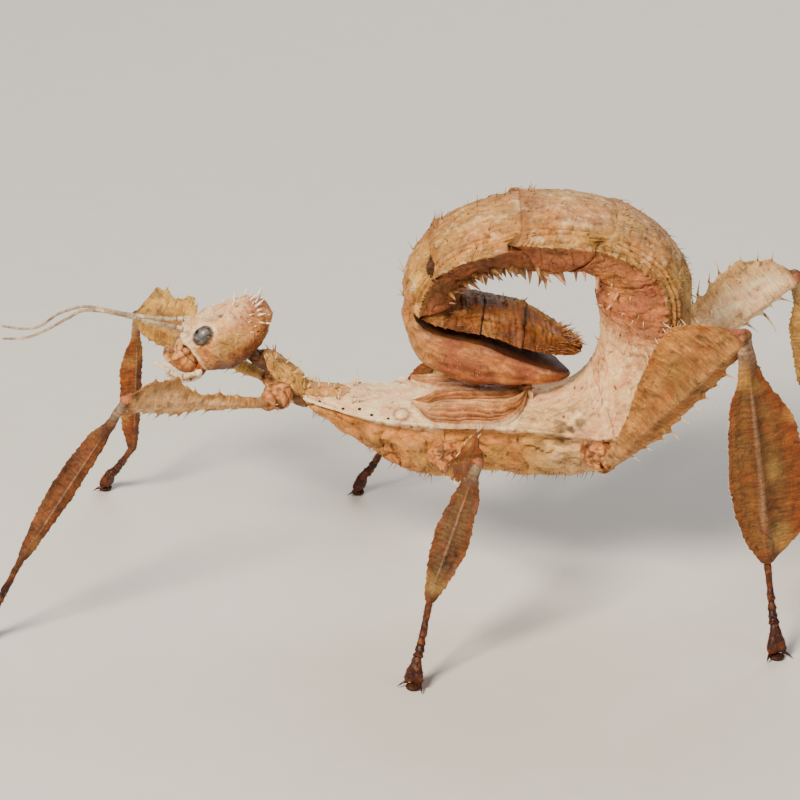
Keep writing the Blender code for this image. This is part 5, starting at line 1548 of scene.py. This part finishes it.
# Teeth along the outer and the inner edge: how many, and how tall
THIGH_TEETH = {
    "fore": ((12, 0.55), (16, 0.45)),
    "mid": ((11, 0.7), (12, 0.5)),
    "hind": ((20, 0.12), (12, 0.5)),
    "hind_right": ((17, 0.8), (16, 0.9)),
}
SHIN_TEETH = {
    "fore": ((24, 0.14), (22, 0.14)),
    "mid": ((20, 0.16), (20, 0.16)),
    "hind": ((38, 0.16), (34, 0.18)),
}

# Base, middle and edge colours of thigh and of shin
LEG_LIVERY = {
    "fore_left": ("tan", "cream", "tan", "umber", "leaf", "umber"),
    "fore_right": ("straw", "leaf", "straw", "leaf", "rust", "rust"),
    "mid_left": ("leaf", "umber", "rust", "umber", "olive", "leaf"),
    "mid_right": ("straw", "olive", "olive", "leaf", "olive", "rust"),
    "hind_left": ("tan", "leaf", "ochre", "leaf", "olive", "rust"),
    "hind_right": ("cream", "bone", "straw", "straw", "tan", "leaf"),
}


def side_vectors(axis, hint):
    normal = unit(hint - axis * np.dot(axis, hint))
    return normal, unit(np.cross(axis, normal))


def saw(part, teeth, height, rng):
    """Teeth along an edge, leaning towards the foot, each of its own size, and their tips."""
    edge = np.zeros(len(part))
    pitch = 1.0 / teeth
    tips = []
    for i in range(teeth):
        tip = (i + rng.uniform(0.3, 0.8)) * pitch
        grown = height * rng.uniform(0.35, 1.2)
        offset = (part - tip) / pitch
        rising = np.clip(1.0 + offset / 0.75, 0.0, 1.0) * (offset <= 0)
        falling = np.clip(1.0 - offset / 0.2, 0.0, 1.0) * (offset > 0)
        edge = np.maximum(edge, grown * (rising + falling) ** 1.6)
        tips.append((tip, grown))
    return edge, tips


def leg_turn():
    """Angles round a limb, closer together at its two edges."""
    turn = np.linspace(0.0, 2.0 * math.pi, LEG_COLUMNS + 1)
    return turn - 0.22 * np.sin(2.0 * turn)


def blade_rows(start, end, hint, inside, outline, core, teeth, count, rng):
    """Rows of a leafy limb, the values that colour it, and the tips of its teeth."""
    axis = unit(end - start)
    length = np.linalg.norm(end - start)
    normal, across = side_vectors(axis, hint)
    if np.dot(across, inside) > 0:
        across = -across
    part = np.linspace(0.0, 1.0, count)
    reach = table_at(outline, part, smooth=max(3, count // 30))
    leafy = ease(part, 0.06, 0.14) * (1.0 - ease(part, 0.95, 0.99))
    edges, tips = [], []
    for side, (many, height) in enumerate(teeth):
        edge, found = saw(part, many, height, rng)
        spots = [Vector((value * length / 1.1, side * 9.0, length)) for value in part]
        ragged = 0.12 * np.array([noise.noise(spot) for spot in spots])
        edges.append(reach[:, side] + (edge * np.minimum(1.0, reach[:, side] / 1.4) + ragged) * leafy)
        tips += [(tip, side, grown) for tip, grown in found if 0.1 < tip < 0.96]
    outer, inner = edges
    turn = leg_turn()
    cosine, sine = np.cos(turn), np.sin(turn)
    wide = np.where(cosine > 0, outer[:, None], inner[:, None]) * cosine
    thick = core * (0.8 + 0.4 * part)[:, None]
    flat = ease(np.maximum(outer, inner) / core, 1.1, 2.4)[:, None]
    rib = LEAF_EDGE + (thick - LEAF_EDGE) * np.exp(-(wide / (thick * 1.2)) ** 2)
    side_rib = 0.1 * bump(np.abs(wide), 0.55 * outer[:, None] * (1.0 - 0.3 * part[:, None]), 0.25) * flat
    high = (rib + side_rib) * flat + thick * (1.0 - flat)
    lift = np.sign(sine) * np.abs(sine) ** (1.0 - 0.55 * flat) * high
    share = wide / np.maximum(outer, inner)[:, None]
    phase = rng.uniform(0.0, 6.0)
    wave = 0.35 * flat * share ** 2 * np.sin(part[:, None] * 15.0 + phase + 1.3 * np.sign(share))
    cup = 0.08 * flat * share ** 2 * np.maximum(outer, inner)[:, None]
    middle = start + axis * (part * length)[:, None]
    places = middle[:, None] + across * wide[..., None] + normal * (lift + wave + cup)[..., None]
    veins = np.abs(np.sin((part[:, None] * length - 0.9 * np.abs(wide)) * math.pi / 1.6))
    raised = 0.05 * flat * (veins < 0.25) * (np.abs(share) > 0.15)
    places = places + (normal * np.sign(sine)[:, None])[None] * raised[..., None]
    lay = np.stack([wide, np.broadcast_to((part * length)[:, None], wide.shape),
                    np.broadcast_to(np.sign(sine) * 4.0, wide.shape)], axis=-1)
    return places, share, np.broadcast_to(part[:, None], wide.shape), lay, (normal, across, axis), tips


def joint_rows(joint, before, after, radius, count=9):
    """Round sections that turn a limb at a joint, from one limb's frame to the next one's."""
    turn = leg_turn()
    rows = []
    for share in np.linspace(0.0, 1.0, count):
        across = unit(before[1] * (1.0 - share) + after[1] * share)
        normal = before[0] * (1.0 - share) + after[0] * share
        normal = unit(normal - across * np.dot(normal, across))
        rows.append(joint + (across * np.cos(turn)[:, None] + normal * np.sin(turn)[:, None]) * radius)
    return np.array(rows)


def leg_colours(name, which, places, share, part):
    """The livery of a thigh or a shin: leafy base, darker middle, pale rib and edges."""
    base, middle, edge = LEG_LIVERY[name][:3] if which == "thigh" else LEG_LIVERY[name][3:]
    big = clouds(places, 4.0, 3.0)
    mid = clouds(places, 1.5, 7.0)
    small = clouds(places, 0.6, 1.0)
    across = np.abs(share)
    leafy = ease(part, 0.1, 0.3) * (1.0 - ease(part, 0.9, 1.0))
    fork = 0.05 + 0.05 * ease(part, 0.75, 0.95)
    rib = bump(share, 0.0, 0.025) * (1.0 - ease(part, 0.75, 0.9)) + 0.8 * (
        bump(share, fork, 0.02) + bump(share, -fork, 0.02)) * ease(part, 0.6, 0.85)
    beside = bump(across, 0.11, 0.05)
    stalk = 1.0 - ease(part, 0.03, 0.18)
    shin = which == "shin"
    stained = 0.35 if name == "hind_right" else 1.0
    return layered(
        places, base,
        (middle, bump(across, 0.3, 0.3) * leafy * (0.6 + 0.6 * big)),
        (edge, ease(across, 0.5, 0.95) * leafy * (0.6 + 0.5 * mid)),
        ("rust", ease(mid + 0.5 * small, 0.2, 0.6) * 0.45 * stained),
        ("umber", ease(-mid - 0.5 * small, 0.25, 0.7) * 0.5 * stained),
        ("dark", ease(-big - small, 0.5, 0.9) * 0.5),
        ("straw", ease(big, 0.2, 0.6) * 0.35),
        ("umber", beside * leafy * (0.4 if shin else 0.15)),
        ("bone", rib * leafy * (0.14 if shin else 0.03)),
        ("bone", ease(across, 0.97, 1.07) * 0.22 * leafy),
        ("feeler", stalk * (0.55 if shin else 0.2)),
        ("umber", ease(part, 0.93, 1.0) * 0.5),
    )


class MakeLegs(bpy.types.Operator):
    """Six legs, each one skin from its root to its ankle, with toothed leafy blades"""

    bl_idname = "insect.legs"
    bl_label = "Legs"

    def execute(self, context):
        surface = skin_material("Dry leaf cuticle, fibrous limb", 0.58, 0.24, (2.4, 0.32), 0.5, 0.35, 0.8)
        horn = thorn_material("Horny thorn, limb", "#8A5C30", "#E0C89C", "#5A3820")
        brown = thorn_material("Fine bristle, limb", "#7A4E28", "#B48C58", "#4A2A18")
        rng = np.random.default_rng(SEED + 4)
        thorns, fine = [], []
        for name, points in LEGS.items():
            spiky, hairy = leg_piece(name, [np.array(point) for point in points], surface, rng)
            thorns += spiky
            fine += hairy
        plant("leg_thorns", (6, 4, 0.85), thorns, horn, "limb")
        plant("leg_bristles", (4, 2, 0.9), fine, brown, "limb")
        return {"FINISHED"}


def leg_piece(name, points, surface, rng):
    root, tip, knee, ankle, _, flat, hint = points
    kind = name.split("_")[0]
    core = CORE_RADIUS[kind]
    outline = THIGH_OUTLINES.get(name, THIGH_OUTLINES[kind])
    count = BLADE_ROWS[kind]
    thigh, share_a, part_a, lay_a, frame_a, tips_a = blade_rows(
        tip, knee, flat, ankle - knee, outline, core, THIGH_TEETH.get(name, THIGH_TEETH[kind]),
        count, rng)
    shin, share_b, part_b, lay_b, frame_b, tips_b = blade_rows(
        knee, ankle, hint, tip - knee, SHIN_OUTLINES[kind], core * 0.8, SHIN_TEETH[kind], count, rng)
    coxa, frame_c = coxa_rows(root, tip, hint, COXA_SIZES[kind])
    hip = joint_rows(tip, frame_c, frame_a, core * 1.1)
    bend = joint_rows(knee, frame_a, frame_b, core * 1.02)
    places = np.concatenate([coxa, hip, thigh[HIP_ROWS:-KNEE_ROWS], bend, shin[KNEE_ROWS:]])
    colours = np.concatenate([
        joint_colours(coxa, "peach", "umber"), joint_colours(hip, "peach", "umber"),
        leg_colours(name, "thigh", thigh, share_a, part_a)[HIP_ROWS:-KNEE_ROWS],
        joint_colours(bend, "rose", "olive"),
        leg_colours(name, "shin", shin, share_b, part_b)[KNEE_ROWS:],
    ])
    lay = np.concatenate([coxa, hip, lay_a[HIP_ROWS:-KNEE_ROWS], bend, lay_b[KNEE_ROWS:]])
    normals = normals_of(places)
    move = 0.09 * clouds(places, 1.4, 5.0) + 0.05 * clouds(places, 0.5, 2.0)
    places = places + normals * move[..., None]
    piece = wrap_grid("leg_" + name, places, colours, lay)
    finish_piece(piece, surface, "limb", "coxa_" + name, "femur_" + name, "tibia_" + name)
    skin = (places, normals)
    first = len(coxa) + len(hip) - HIP_ROWS
    second = first + len(thigh) + len(bend) - 2 * KNEE_ROWS
    spiky = tooth_tips(skin, first, count, tips_a, frame_a, SPINE_SIZES[kind], rng)
    spiky += tooth_tips(skin, second, count, tips_b, frame_b, SHIN_SPINE_SIZE, rng)
    return leg_thorns(skin, spiky, len(coxa), first, second, count, frame_a, frame_b, rng)


def coxa_rows(root, tip, hint, size):
    """The leg's root joint: a pinched ball with a collar at its tip."""
    axis = unit(tip - root)
    normal, across = side_vectors(axis, hint)
    part = np.linspace(0.0, 1.0, 54)
    girth, lift = size
    radius = table_at(COXA_OUTLINE, part, smooth=3)[:, 0] * girth
    turn = leg_turn()
    shift = UP * lift + SIDE * np.sign(tip[1]) * 0.45 * lift
    middle = root + (tip - root) * part[:, None] + shift * bump(part, 0.3, 0.26)[:, None]
    circle = across * np.cos(turn)[:, None] + normal * np.sin(turn)[:, None]
    places = middle[:, None] + circle[None] * radius[:, None, None]
    lumps = 0.22 * clouds(places, 1.8, 21.0) - 0.12 * (np.abs(clouds(places, 2.2, 33.0)) < 0.04)
    return places + circle[None] * lumps[..., None], (normal, across, axis)


def joint_colours(places, base, other):
    mid = clouds(places, 1.0, 4.0)
    return layered(
        places, base,
        ("rose", ease(mid, -0.2, 0.3) * 0.6),
        (other, ease(-mid, 0.0, 0.35) * 0.8),
        ("umber", (np.abs(clouds(places, 2.2, 33.0)) < 0.05) * 0.7),
        ("dark", ease(-clouds(places, 0.7, 8.0), 0.2, 0.5) * 0.55),
    )


def tooth_tips(skin, first, count, tips, limb, size, rng):
    """A slender spine on the tip of each tooth."""
    grown = []
    for tip, side, height in tips:
        row = first + int(round(tip * (count - 1)))
        column = (0, LEG_COLUMNS // 2)[side]
        towards = limb[1] * (1.0, -1.0)[side] + limb[2] * 0.35 + rng.normal(0.0, 0.15, 3)
        tall = size * (0.5 + height) * rng.uniform(0.8, 1.5)
        radius = 0.06 + 0.045 * tall
        grown.append(thorn_at(skin, row, column, towards, tall, radius, rng.normal(0.0, 0.2), 0.2))
    return grown


def leg_thorns(skin, spiky, on_coxa, first, second, count, frame_a, frame_b, rng):
    """Smaller thorns on edges and ribs, and bristles over the limb."""
    rows = np.arange(len(skin[0]))[:, None]
    columns = np.arange(LEG_COLUMNS + 1)[None, :]
    half = LEG_COLUMNS // 2
    edge = (columns <= 1) | (columns >= LEG_COLUMNS - 1) | (np.abs(columns - half) <= 1)
    on_thigh = (rows > first + THIGH_BARE) & (rows < first + count - THIGH_BARE)
    on_shin = (rows > second + SHIN_BARE[0]) & (rows < len(skin[0]) - SHIN_BARE[1])
    rib = (np.abs(columns - half // 2) <= 1) | (np.abs(columns - 3 * half // 2) <= 1)
    many = count // 8
    spiky = spiky + scatter(skin, edge & on_thigh, many, rng, (0.2, 0.5), (0.05, 0.085), frame_a[2], 0.5)
    spiky += scatter(skin, edge & on_shin, many, rng, (0.12, 0.3), (0.04, 0.07), frame_b[2], 0.7)
    spiky += scatter_all(
        skin, rng, frame_a[2],
        (rib & on_thigh, many // 2, (0.15, 0.4), (0.05, 0.08), 0.5),
        ((rows < on_coxa) & (columns >= 0), 12, (0.25, 0.6), (0.06, 0.1), 0.2),
    )
    hairy = scatter(skin, (rows > 4) & (columns >= 0), 330, rng, (0.1, 0.26), (0.025, 0.04), frame_b[2], 0.6)
    return spiky, hairy


TARSUS_ROWS = 190
TARSUS_COLUMNS = 40
CLAW_LENGTH = 1.45
CLAW_RADIUS = 0.27
CLAW_HOOK = 0.75  # how far the tip bends down
CLAW_FLOOR = 0.02  # lowest height of a claw

# Foot joints: share of the length, radius across, radius up and down
TARSUS_SHAPE = (
    (0.0, 0.42, 0.42), (0.05, 0.46, 0.46), (0.28, 0.42, 0.42), (0.42, 0.52, 0.54), (0.44, 0.42, 0.42),
    (0.52, 0.58, 0.58), (0.54, 0.46, 0.44), (0.61, 0.66, 0.62), (0.63, 0.5, 0.48), (0.70, 0.74, 0.68),
    (0.72, 0.52, 0.5), (0.82, 0.72, 0.62), (0.92, 1.2, 0.8), (0.97, 1.4, 0.75), (1.0, 1.2, 0.5),
)
TARSUS_GROOVES = (0.44, 0.54, 0.63, 0.72)


class MakeFeet(bpy.types.Operator):
    """Five-jointed feet with grip pads and paired claws"""

    bl_idname = "insect.feet"
    bl_label = "Feet"

    def execute(self, context):
        surface = skin_material("Chitin, dark red foot", 0.45, 0.16, (0.35, 1.2), 0.6, 0.4, 0.8)
        claw = thorn_material("Horny claw, dark", "#5A2410", "#2E120A", "#100604", roughness=0.28)
        pad = skin_material("Soft foot pad, brown", 0.6, 0.1, (0.5, 0.5), 0.3, 0.2, 0.6)
        rng = np.random.default_rng(SEED + 5)
        claws, hairs = [], []
        for name, points in LEGS.items():
            ankle, foot = np.array(points[3]), np.array(points[4])
            axis = unit(foot - ankle)
            flat = unit(np.array((axis[0], axis[1], 0.0)))
            places, normals, livery = foot_rows(ankle, foot, flat)
            piece = wrap_grid("foot_" + name, places, livery)
            finish_piece(piece, surface, "tarsus", "tarsus_" + name)
            finish_piece(foot_pad("pad_" + name, foot + flat * 0.55, flat), pad, "tarsus")
            aside = np.array((-flat[1], flat[0], 0.0))
            for mirror in (-1.0, 1.0):
                out = unit(flat + aside * 0.9 * mirror)
                root = foot + UP * 0.8 + flat * 0.35 + aside * 0.85 * mirror
                towards = unit(out + UP * 0.1)
                claws.append((root, towards, CLAW_LENGTH, CLAW_RADIUS, 0.0, (0.5, 0.5)))
            shown = np.ones(places.shape[:2], bool)
            shown[:8] = False
            hairs += scatter((places, normals), shown, 130, rng, (0.15, 0.42), (0.025, 0.045), axis, 0.8)
        thorn = model_thorn(8, 7, 0.7)
        finish_piece(hooked(stamp("claws", thorn, claws), thorn, claws), claw, "tarsus")
        brown = thorn_material("Fine bristle, brown", "#57230F", "#8A5A34", "#2E180C")
        plant("foot_bristles", (4, 2, 0.9), hairs, brown, "tarsus")
        return {"FINISHED"}


def foot_rows(ankle, foot, flat):
    """Rows of the five foot joints, the last flaring to the claws."""
    part = np.linspace(-0.03, 1.0, TARSUS_ROWS)
    shape = table_at(TARSUS_SHAPE, part, smooth=2)
    end = foot + UP * 0.78 + flat * 0.5
    path = ankle + (end - ankle) * part[:, None]
    path = path + UP * (0.7 * bump(part, 0.82, 0.14))[:, None]
    direction = unit(np.gradient(path, axis=0))
    side = unit(np.cross(direction, UP))
    lift = np.cross(side, direction)
    turn = np.linspace(0.0, 2.0 * math.pi, TARSUS_COLUMNS + 1)
    places = (path[:, None] + side[:, None] * (np.cos(turn) * shape[:, :1])[..., None]
              + lift[:, None] * (np.sin(turn) * shape[:, 1:])[..., None])
    normals = normals_of(places)
    cleft = bump(np.abs(turn - 0.5 * math.pi), 0.0, 0.25) * ease(part, 0.84, 0.97)[:, None]
    move = 0.09 * clouds(places, 0.7, 4.0) - 0.25 * cleft
    places = places + normals * move[..., None]
    places[..., 2] = np.maximum(places[..., 2], 0.05)
    groove = sum(bump(part, at, 0.013) for at in TARSUS_GROOVES)[:, None]
    livery = layered(
        places, "foot",
        ("rust", ease(clouds(places, 1.2, 6.0), -0.1, 0.4) * 0.35),
        ("leaf", (1.0 - ease(part, 0.0, 0.35))[:, None] * 0.45),
        ("ochre", ease(clouds(places, 0.7, 9.0), 0.2, 0.5) * 0.2),
        ("dark", groove * 0.85),
        ("dark", ease(clouds(places, 0.6, 1.0), 0.15, 0.5) * 0.5),
    )
    return places, normals, livery


def foot_pad(name, middle, flat):
    """The soft sole that grips, flattened on the floor."""
    piece, points = add_ball(name, 48, 24)
    aside = np.array((-flat[1], flat[0], 0.0))
    lobed = 1.0 + 0.1 * np.cos(2.0 * np.arctan2(points[:, 1], points[:, 0]))
    places = (middle + flat * (points[:, 0] * 0.8 * lobed)[:, None] + aside * points[:, 1:2]
              + UP * (0.34 + points[:, 2] * 0.42)[:, None])
    places = places + points * (0.06 * clouds(places, 0.4, 2.0))[:, None]
    places[:, 2] = np.maximum(places[:, 2], 0.0)
    livery = layered(
        places, "foot",
        ("umber", ease(clouds(places, 0.5, 3.0), -0.1, 0.3) * 0.6),
    )
    return lay_skin(piece, places, livery, places)


def hooked(piece, thorn, claws):
    """Hooks each claw down towards the floor."""
    points = np.empty(len(piece.data.vertices) * 3)
    piece.data.vertices.foreach_get("co", points)
    points = points.reshape(-1, 3)
    rise = np.tile(thorn[0][:, 2], len(claws))
    points[:, 2] -= CLAW_HOOK * MM * rise ** 2
    points[:, 2] = np.maximum(points[:, 2], CLAW_FLOOR * MM)
    piece.data.vertices.foreach_set("co", points.astype(np.float32).ravel())
    return piece


WING_LENGTH = (1.4, 17.2)
WING_MIDLINE = 0.15
WING_REACH = 7.4
WING_REST = 6.0  # the wing lies on the back up to here, and droops over the rim beyond
WING_DROOP = 0.55
WING_ROWS = 190
WING_COLUMNS = 120
WING_THICKNESS = 0.3
WING_LIFT = 0.3
WING_CEILING = 29.4  # rays down to the back start here
WING_LANES = 10
WING_SMOOTHING = 16
WING_SHADE = 0.7
CROSS_VEIN_SPACING = 0.95


class MakeWings(bpy.types.Operator):
    """Short leathery wings with raised veins, lying on the back"""

    bl_idname = "insect.wings"
    bl_label = "Wings"

    def execute(self, context):
        sizes = context.scene.insect_sizes
        surface = skin_material("Leathery wing, veined", 0.48, 0.16, (0.5, 2.5), 0.4, 0.2, 0.7)
        graph = context.evaluated_depsgraph_get()
        body = BVHTree.FromObject(bpy.data.objects["body_skin"], graph)
        for name, mirror in (("wing_pad_left", -1.0), ("wing_pad_right", 1.0)):
            v = np.linspace(0.0, 1.0, WING_ROWS)
            u = np.linspace(0.0, 1.0, WING_COLUMNS)
            tip = 1.0 - (2.0 * np.abs(v - 0.42)) ** 5 * (v > 0.42) / 1.4
            outer = WING_REACH * np.sqrt(np.maximum(0.02, tip)) * (0.86 + 0.14 * ease(v, 0.0, 0.3))
            outer = outer * np.sqrt(np.maximum(0.02, 1.0 - ease(v, 0.86, 1.0) ** 2))
            inner = WING_MIDLINE + 4.6 * (1.0 - ease(v, -0.12, 0.3)) + 1.2 * ease(v, 0.9, 1.0)
            outer = np.maximum(outer, inner + 0.3)
            outer = inner + (outer - inner) * (0.12 + 0.88 * np.sqrt(ease(v, 0.0, 0.16)))
            x = WING_LENGTH[0] + (WING_LENGTH[1] - WING_LENGTH[0]) * v[:, None] * np.ones(WING_COLUMNS)
            y = (inner[:, None] + (outer - inner)[:, None] * u) * mirror
            held = np.clip(y, -WING_REST, WING_REST)
            z = np.array([[back_height(body, *spot) for spot in zip(*row)] for row in zip(x, held)])
            z = z - WING_DROOP * np.abs(y - held)
            for _ in range(WING_SMOOTHING):
                z[1:-1] = 0.25 * z[:-2] + 0.5 * z[1:-1] + 0.25 * z[2:]
                z[:, 1:-1] = 0.25 * z[:, :-2] + 0.5 * z[:, 1:-1] + 0.25 * z[:, 2:]
            veins = wing_veins(v, u, outer - inner, x, y)
            folds = 0.34 * np.sin(u * 12.0 + 2.5 * v[:, None])
            folds = folds * ease(u, 0.0, 0.15) * (1.0 - ease(u, 0.9, 1.0))
            rim = np.maximum(bump(u, 1.0, 0.03), bump(u, 0.0, 0.03))
            over_z = z + WING_LIFT + WING_THICKNESS + sizes.vein * veins + folds - 0.1 * rim
            over_z = over_z + 0.12 * clouds(np.stack([x, y, z], axis=-1), 2.0, 4.0)
            over = np.stack([x, y, over_z], axis=-1)
            under = np.stack([x, y, z + WING_LIFT - 0.25], axis=-1)
            places = np.concatenate([over, under[:, ::-1], over[:, :1]], axis=1)
            big = clouds(over, 3.0, 6.0)
            small = clouds(over, 0.8, 3.0)
            shade = layered(
                over, "peach",
                ("rose", ease(big, -0.2, 0.4) * 0.6),
                ("rust", ease(small + big, 0.0, 0.6) * 0.5),
                # Painted shade in the valleys of the folds
                ("rust", ease(-folds, -0.05, 0.3) * 0.85),
                ("umber", ease(-folds, 0.18, 0.34) * 0.5),
                ("rust", (1.0 - veins) * 0.3),
                # Painted highlight on the crests of the folds
                ("cream", ease(folds, 0.1, 0.34) * 0.25),
                ("cream", veins * 0.28),
                ("bone", rim * 0.5),
                ("umber", ease(v, 0.85, 1.0)[:, None] * 0.35),
                shade=WING_SHADE,
            )
            livery = np.concatenate([shade, shade[:, ::-1], shade[:, :1]], axis=1)
            piece = wrap_grid(name + "_leather", places, livery)
            finish_piece(piece, surface, "wing_pad", name)
        return {"FINISHED"}


def back_height(body, x, y):
    start = Vector(metres(np.array((x, y, WING_CEILING))))
    hit = body.ray_cast(start, Vector((0.0, 0.0, -1.0)))[0]
    if hit is None:
        raise RuntimeError("The wing lies outside the back")
    return hit.z / MM


def wing_veins(v, u, width, x, y):
    """Long veins that fan from the root, with cross veins between them."""
    field = np.zeros(x.shape)
    spread = clouds(np.stack([x, y * 0.3, y * 0.0], axis=-1), 5.0, 31.0) * 0.04
    for lane in np.linspace(0.06, 0.95, WING_LANES):
        line = lane + (0.85 - lane) * 0.4 * (1.0 - v[:, None]) ** 2 + spread
        field = np.maximum(field, np.exp(-((u - line) * width[:, None] / 0.13) ** 2))
    wobble = clouds(np.stack([x * 0.6, y, y * 0.0], axis=-1), 1.2, 77.0) * 0.9
    cross = np.abs(np.sin((x + wobble + 0.35 * np.abs(y)) * math.pi / CROSS_VEIN_SPACING))
    return np.maximum(field, 0.5 * np.exp(-(cross / 0.2) ** 2))


CAMERA_TARGET = (0.0, 0.0, 26.5)
CAMERA_DISTANCE = 450.0
CAMERA_ELEVATION = 24.0
HALF_VIEW = math.atan(400.0 / 3465.0)
SENSOR = 36.0
FLOOR_SIZE = 6.0  # metres
SKY_STRENGTH = 0.16

# Lamps: name, place and size in metres, power in watts, colour
LAMPS = (
    ("key lamp", (-0.3, -0.42, 0.5), 0.2, 9.8, "#FFF1DD"),
    ("fill lamp", (0.45, -0.4, 0.25), 0.5, 1.2, "#F2F3F6"),
    ("rim lamp", (0.15, 0.5, 0.45), 0.4, 3.0, "#FFFFFF"),
)


def aim(thing, place, target):
    thing.location = Vector(place)
    thing.rotation_mode = "QUATERNION"
    thing.rotation_quaternion = (Vector(target) - Vector(place)).to_track_quat("-Z", "Y")


class MakeStage(bpy.types.Operator):
    """Pale floor, soft lamps and the camera"""

    bl_idname = "insect.stage"
    bl_label = "Stage"

    def execute(self, context):
        target = metres(CAMERA_TARGET)
        tilt = math.radians(CAMERA_ELEVATION)
        back = np.array((0.0, -math.cos(tilt), math.sin(tilt)))
        data = bpy.data.cameras.new("camera")
        data.sensor_width = SENSOR
        data.lens = SENSOR / 2.0 / math.tan(HALF_VIEW)
        data.clip_start = 0.01
        data.clip_end = 20.0
        camera = bpy.data.objects.new("camera", data)
        context.scene.collection.objects.link(camera)
        aim(camera, target + back * CAMERA_DISTANCE * MM, target)
        context.scene.camera = camera
        make_floor()
        for lamp in LAMPS:
            add_lamp(*lamp, target)
        world = context.scene.world or bpy.data.worlds.new("world")
        context.scene.world = world
        world.use_nodes = True
        sky = world.node_tree.nodes["Background"]
        sky.inputs["Color"].default_value = (*linear("#E9EBEE"), 1.0)
        sky.inputs["Strength"].default_value = SKY_STRENGTH
        return {"FINISHED"}


def make_floor():
    deselect()
    bpy.ops.mesh.primitive_plane_add(size=FLOOR_SIZE)
    plane = bpy.context.object
    plane.name = "floor"
    made, tree, shader = blank_material("Pale matte floor")
    grain = noise_at(tree, in_millimetres(tree), 6.0, 3.0)
    pale = mix_colour(tree, "MIX", grain, "#CFCBC5", "#D5D2CC")
    tree.links.new(pale, shader.inputs["Base Color"])
    shader.inputs["Roughness"].default_value = 0.85
    plane.data.materials.append(made)


def add_lamp(name, place, size, power, code, target):
    data = bpy.data.lights.new(name, "AREA")
    data.shape = "SQUARE"
    data.size = size
    data.energy = power
    data.color = linear(code)
    lamp = bpy.data.objects.new(name, data)
    bpy.context.scene.collection.objects.link(lamp)
    aim(lamp, place, target)


OPERATORS = (MakeBodySkin, MakeTail, MakeHead, MakeEyes, MakeFeelers, MakeMouth, MakeLegs, MakeFeet,
             MakeWings, MakeStage)


class InsectPanel(bpy.types.Panel):
    """Buttons that make each piece, and the livery"""

    bl_idname = "VIEW3D_PT_insect"
    bl_label = "Stick insect"
    bl_space_type = "VIEW_3D"
    bl_region_type = "UI"
    bl_category = "Insect"

    def draw(self, context):
        for operator in OPERATORS:
            self.layout.operator(operator.bl_idname)
        for group in (context.scene.insect_sizes, context.scene.insect_colours):
            for name in type(group).__annotations__:
                self.layout.prop(group, name)


CLASSES = (InsectColours, InsectSizes, *OPERATORS, InsectPanel)


def register():
    for kind in CLASSES:
        bpy.utils.register_class(kind)
    bpy.types.Scene.insect_colours = bpy.props.PointerProperty(type=InsectColours)
    bpy.types.Scene.insect_sizes = bpy.props.PointerProperty(type=InsectSizes)


def unregister():
    del bpy.types.Scene.insect_sizes
    del bpy.types.Scene.insect_colours
    for kind in reversed(CLASSES):
        bpy.utils.unregister_class(kind)


def main():
    register()
    for step in ("body_skin", "tail", "head", "eyes", "feelers", "mouth", "legs", "feet", "wings", "stage"):
        getattr(bpy.ops.insect, step)()


if __name__ == "__main__":
    main()
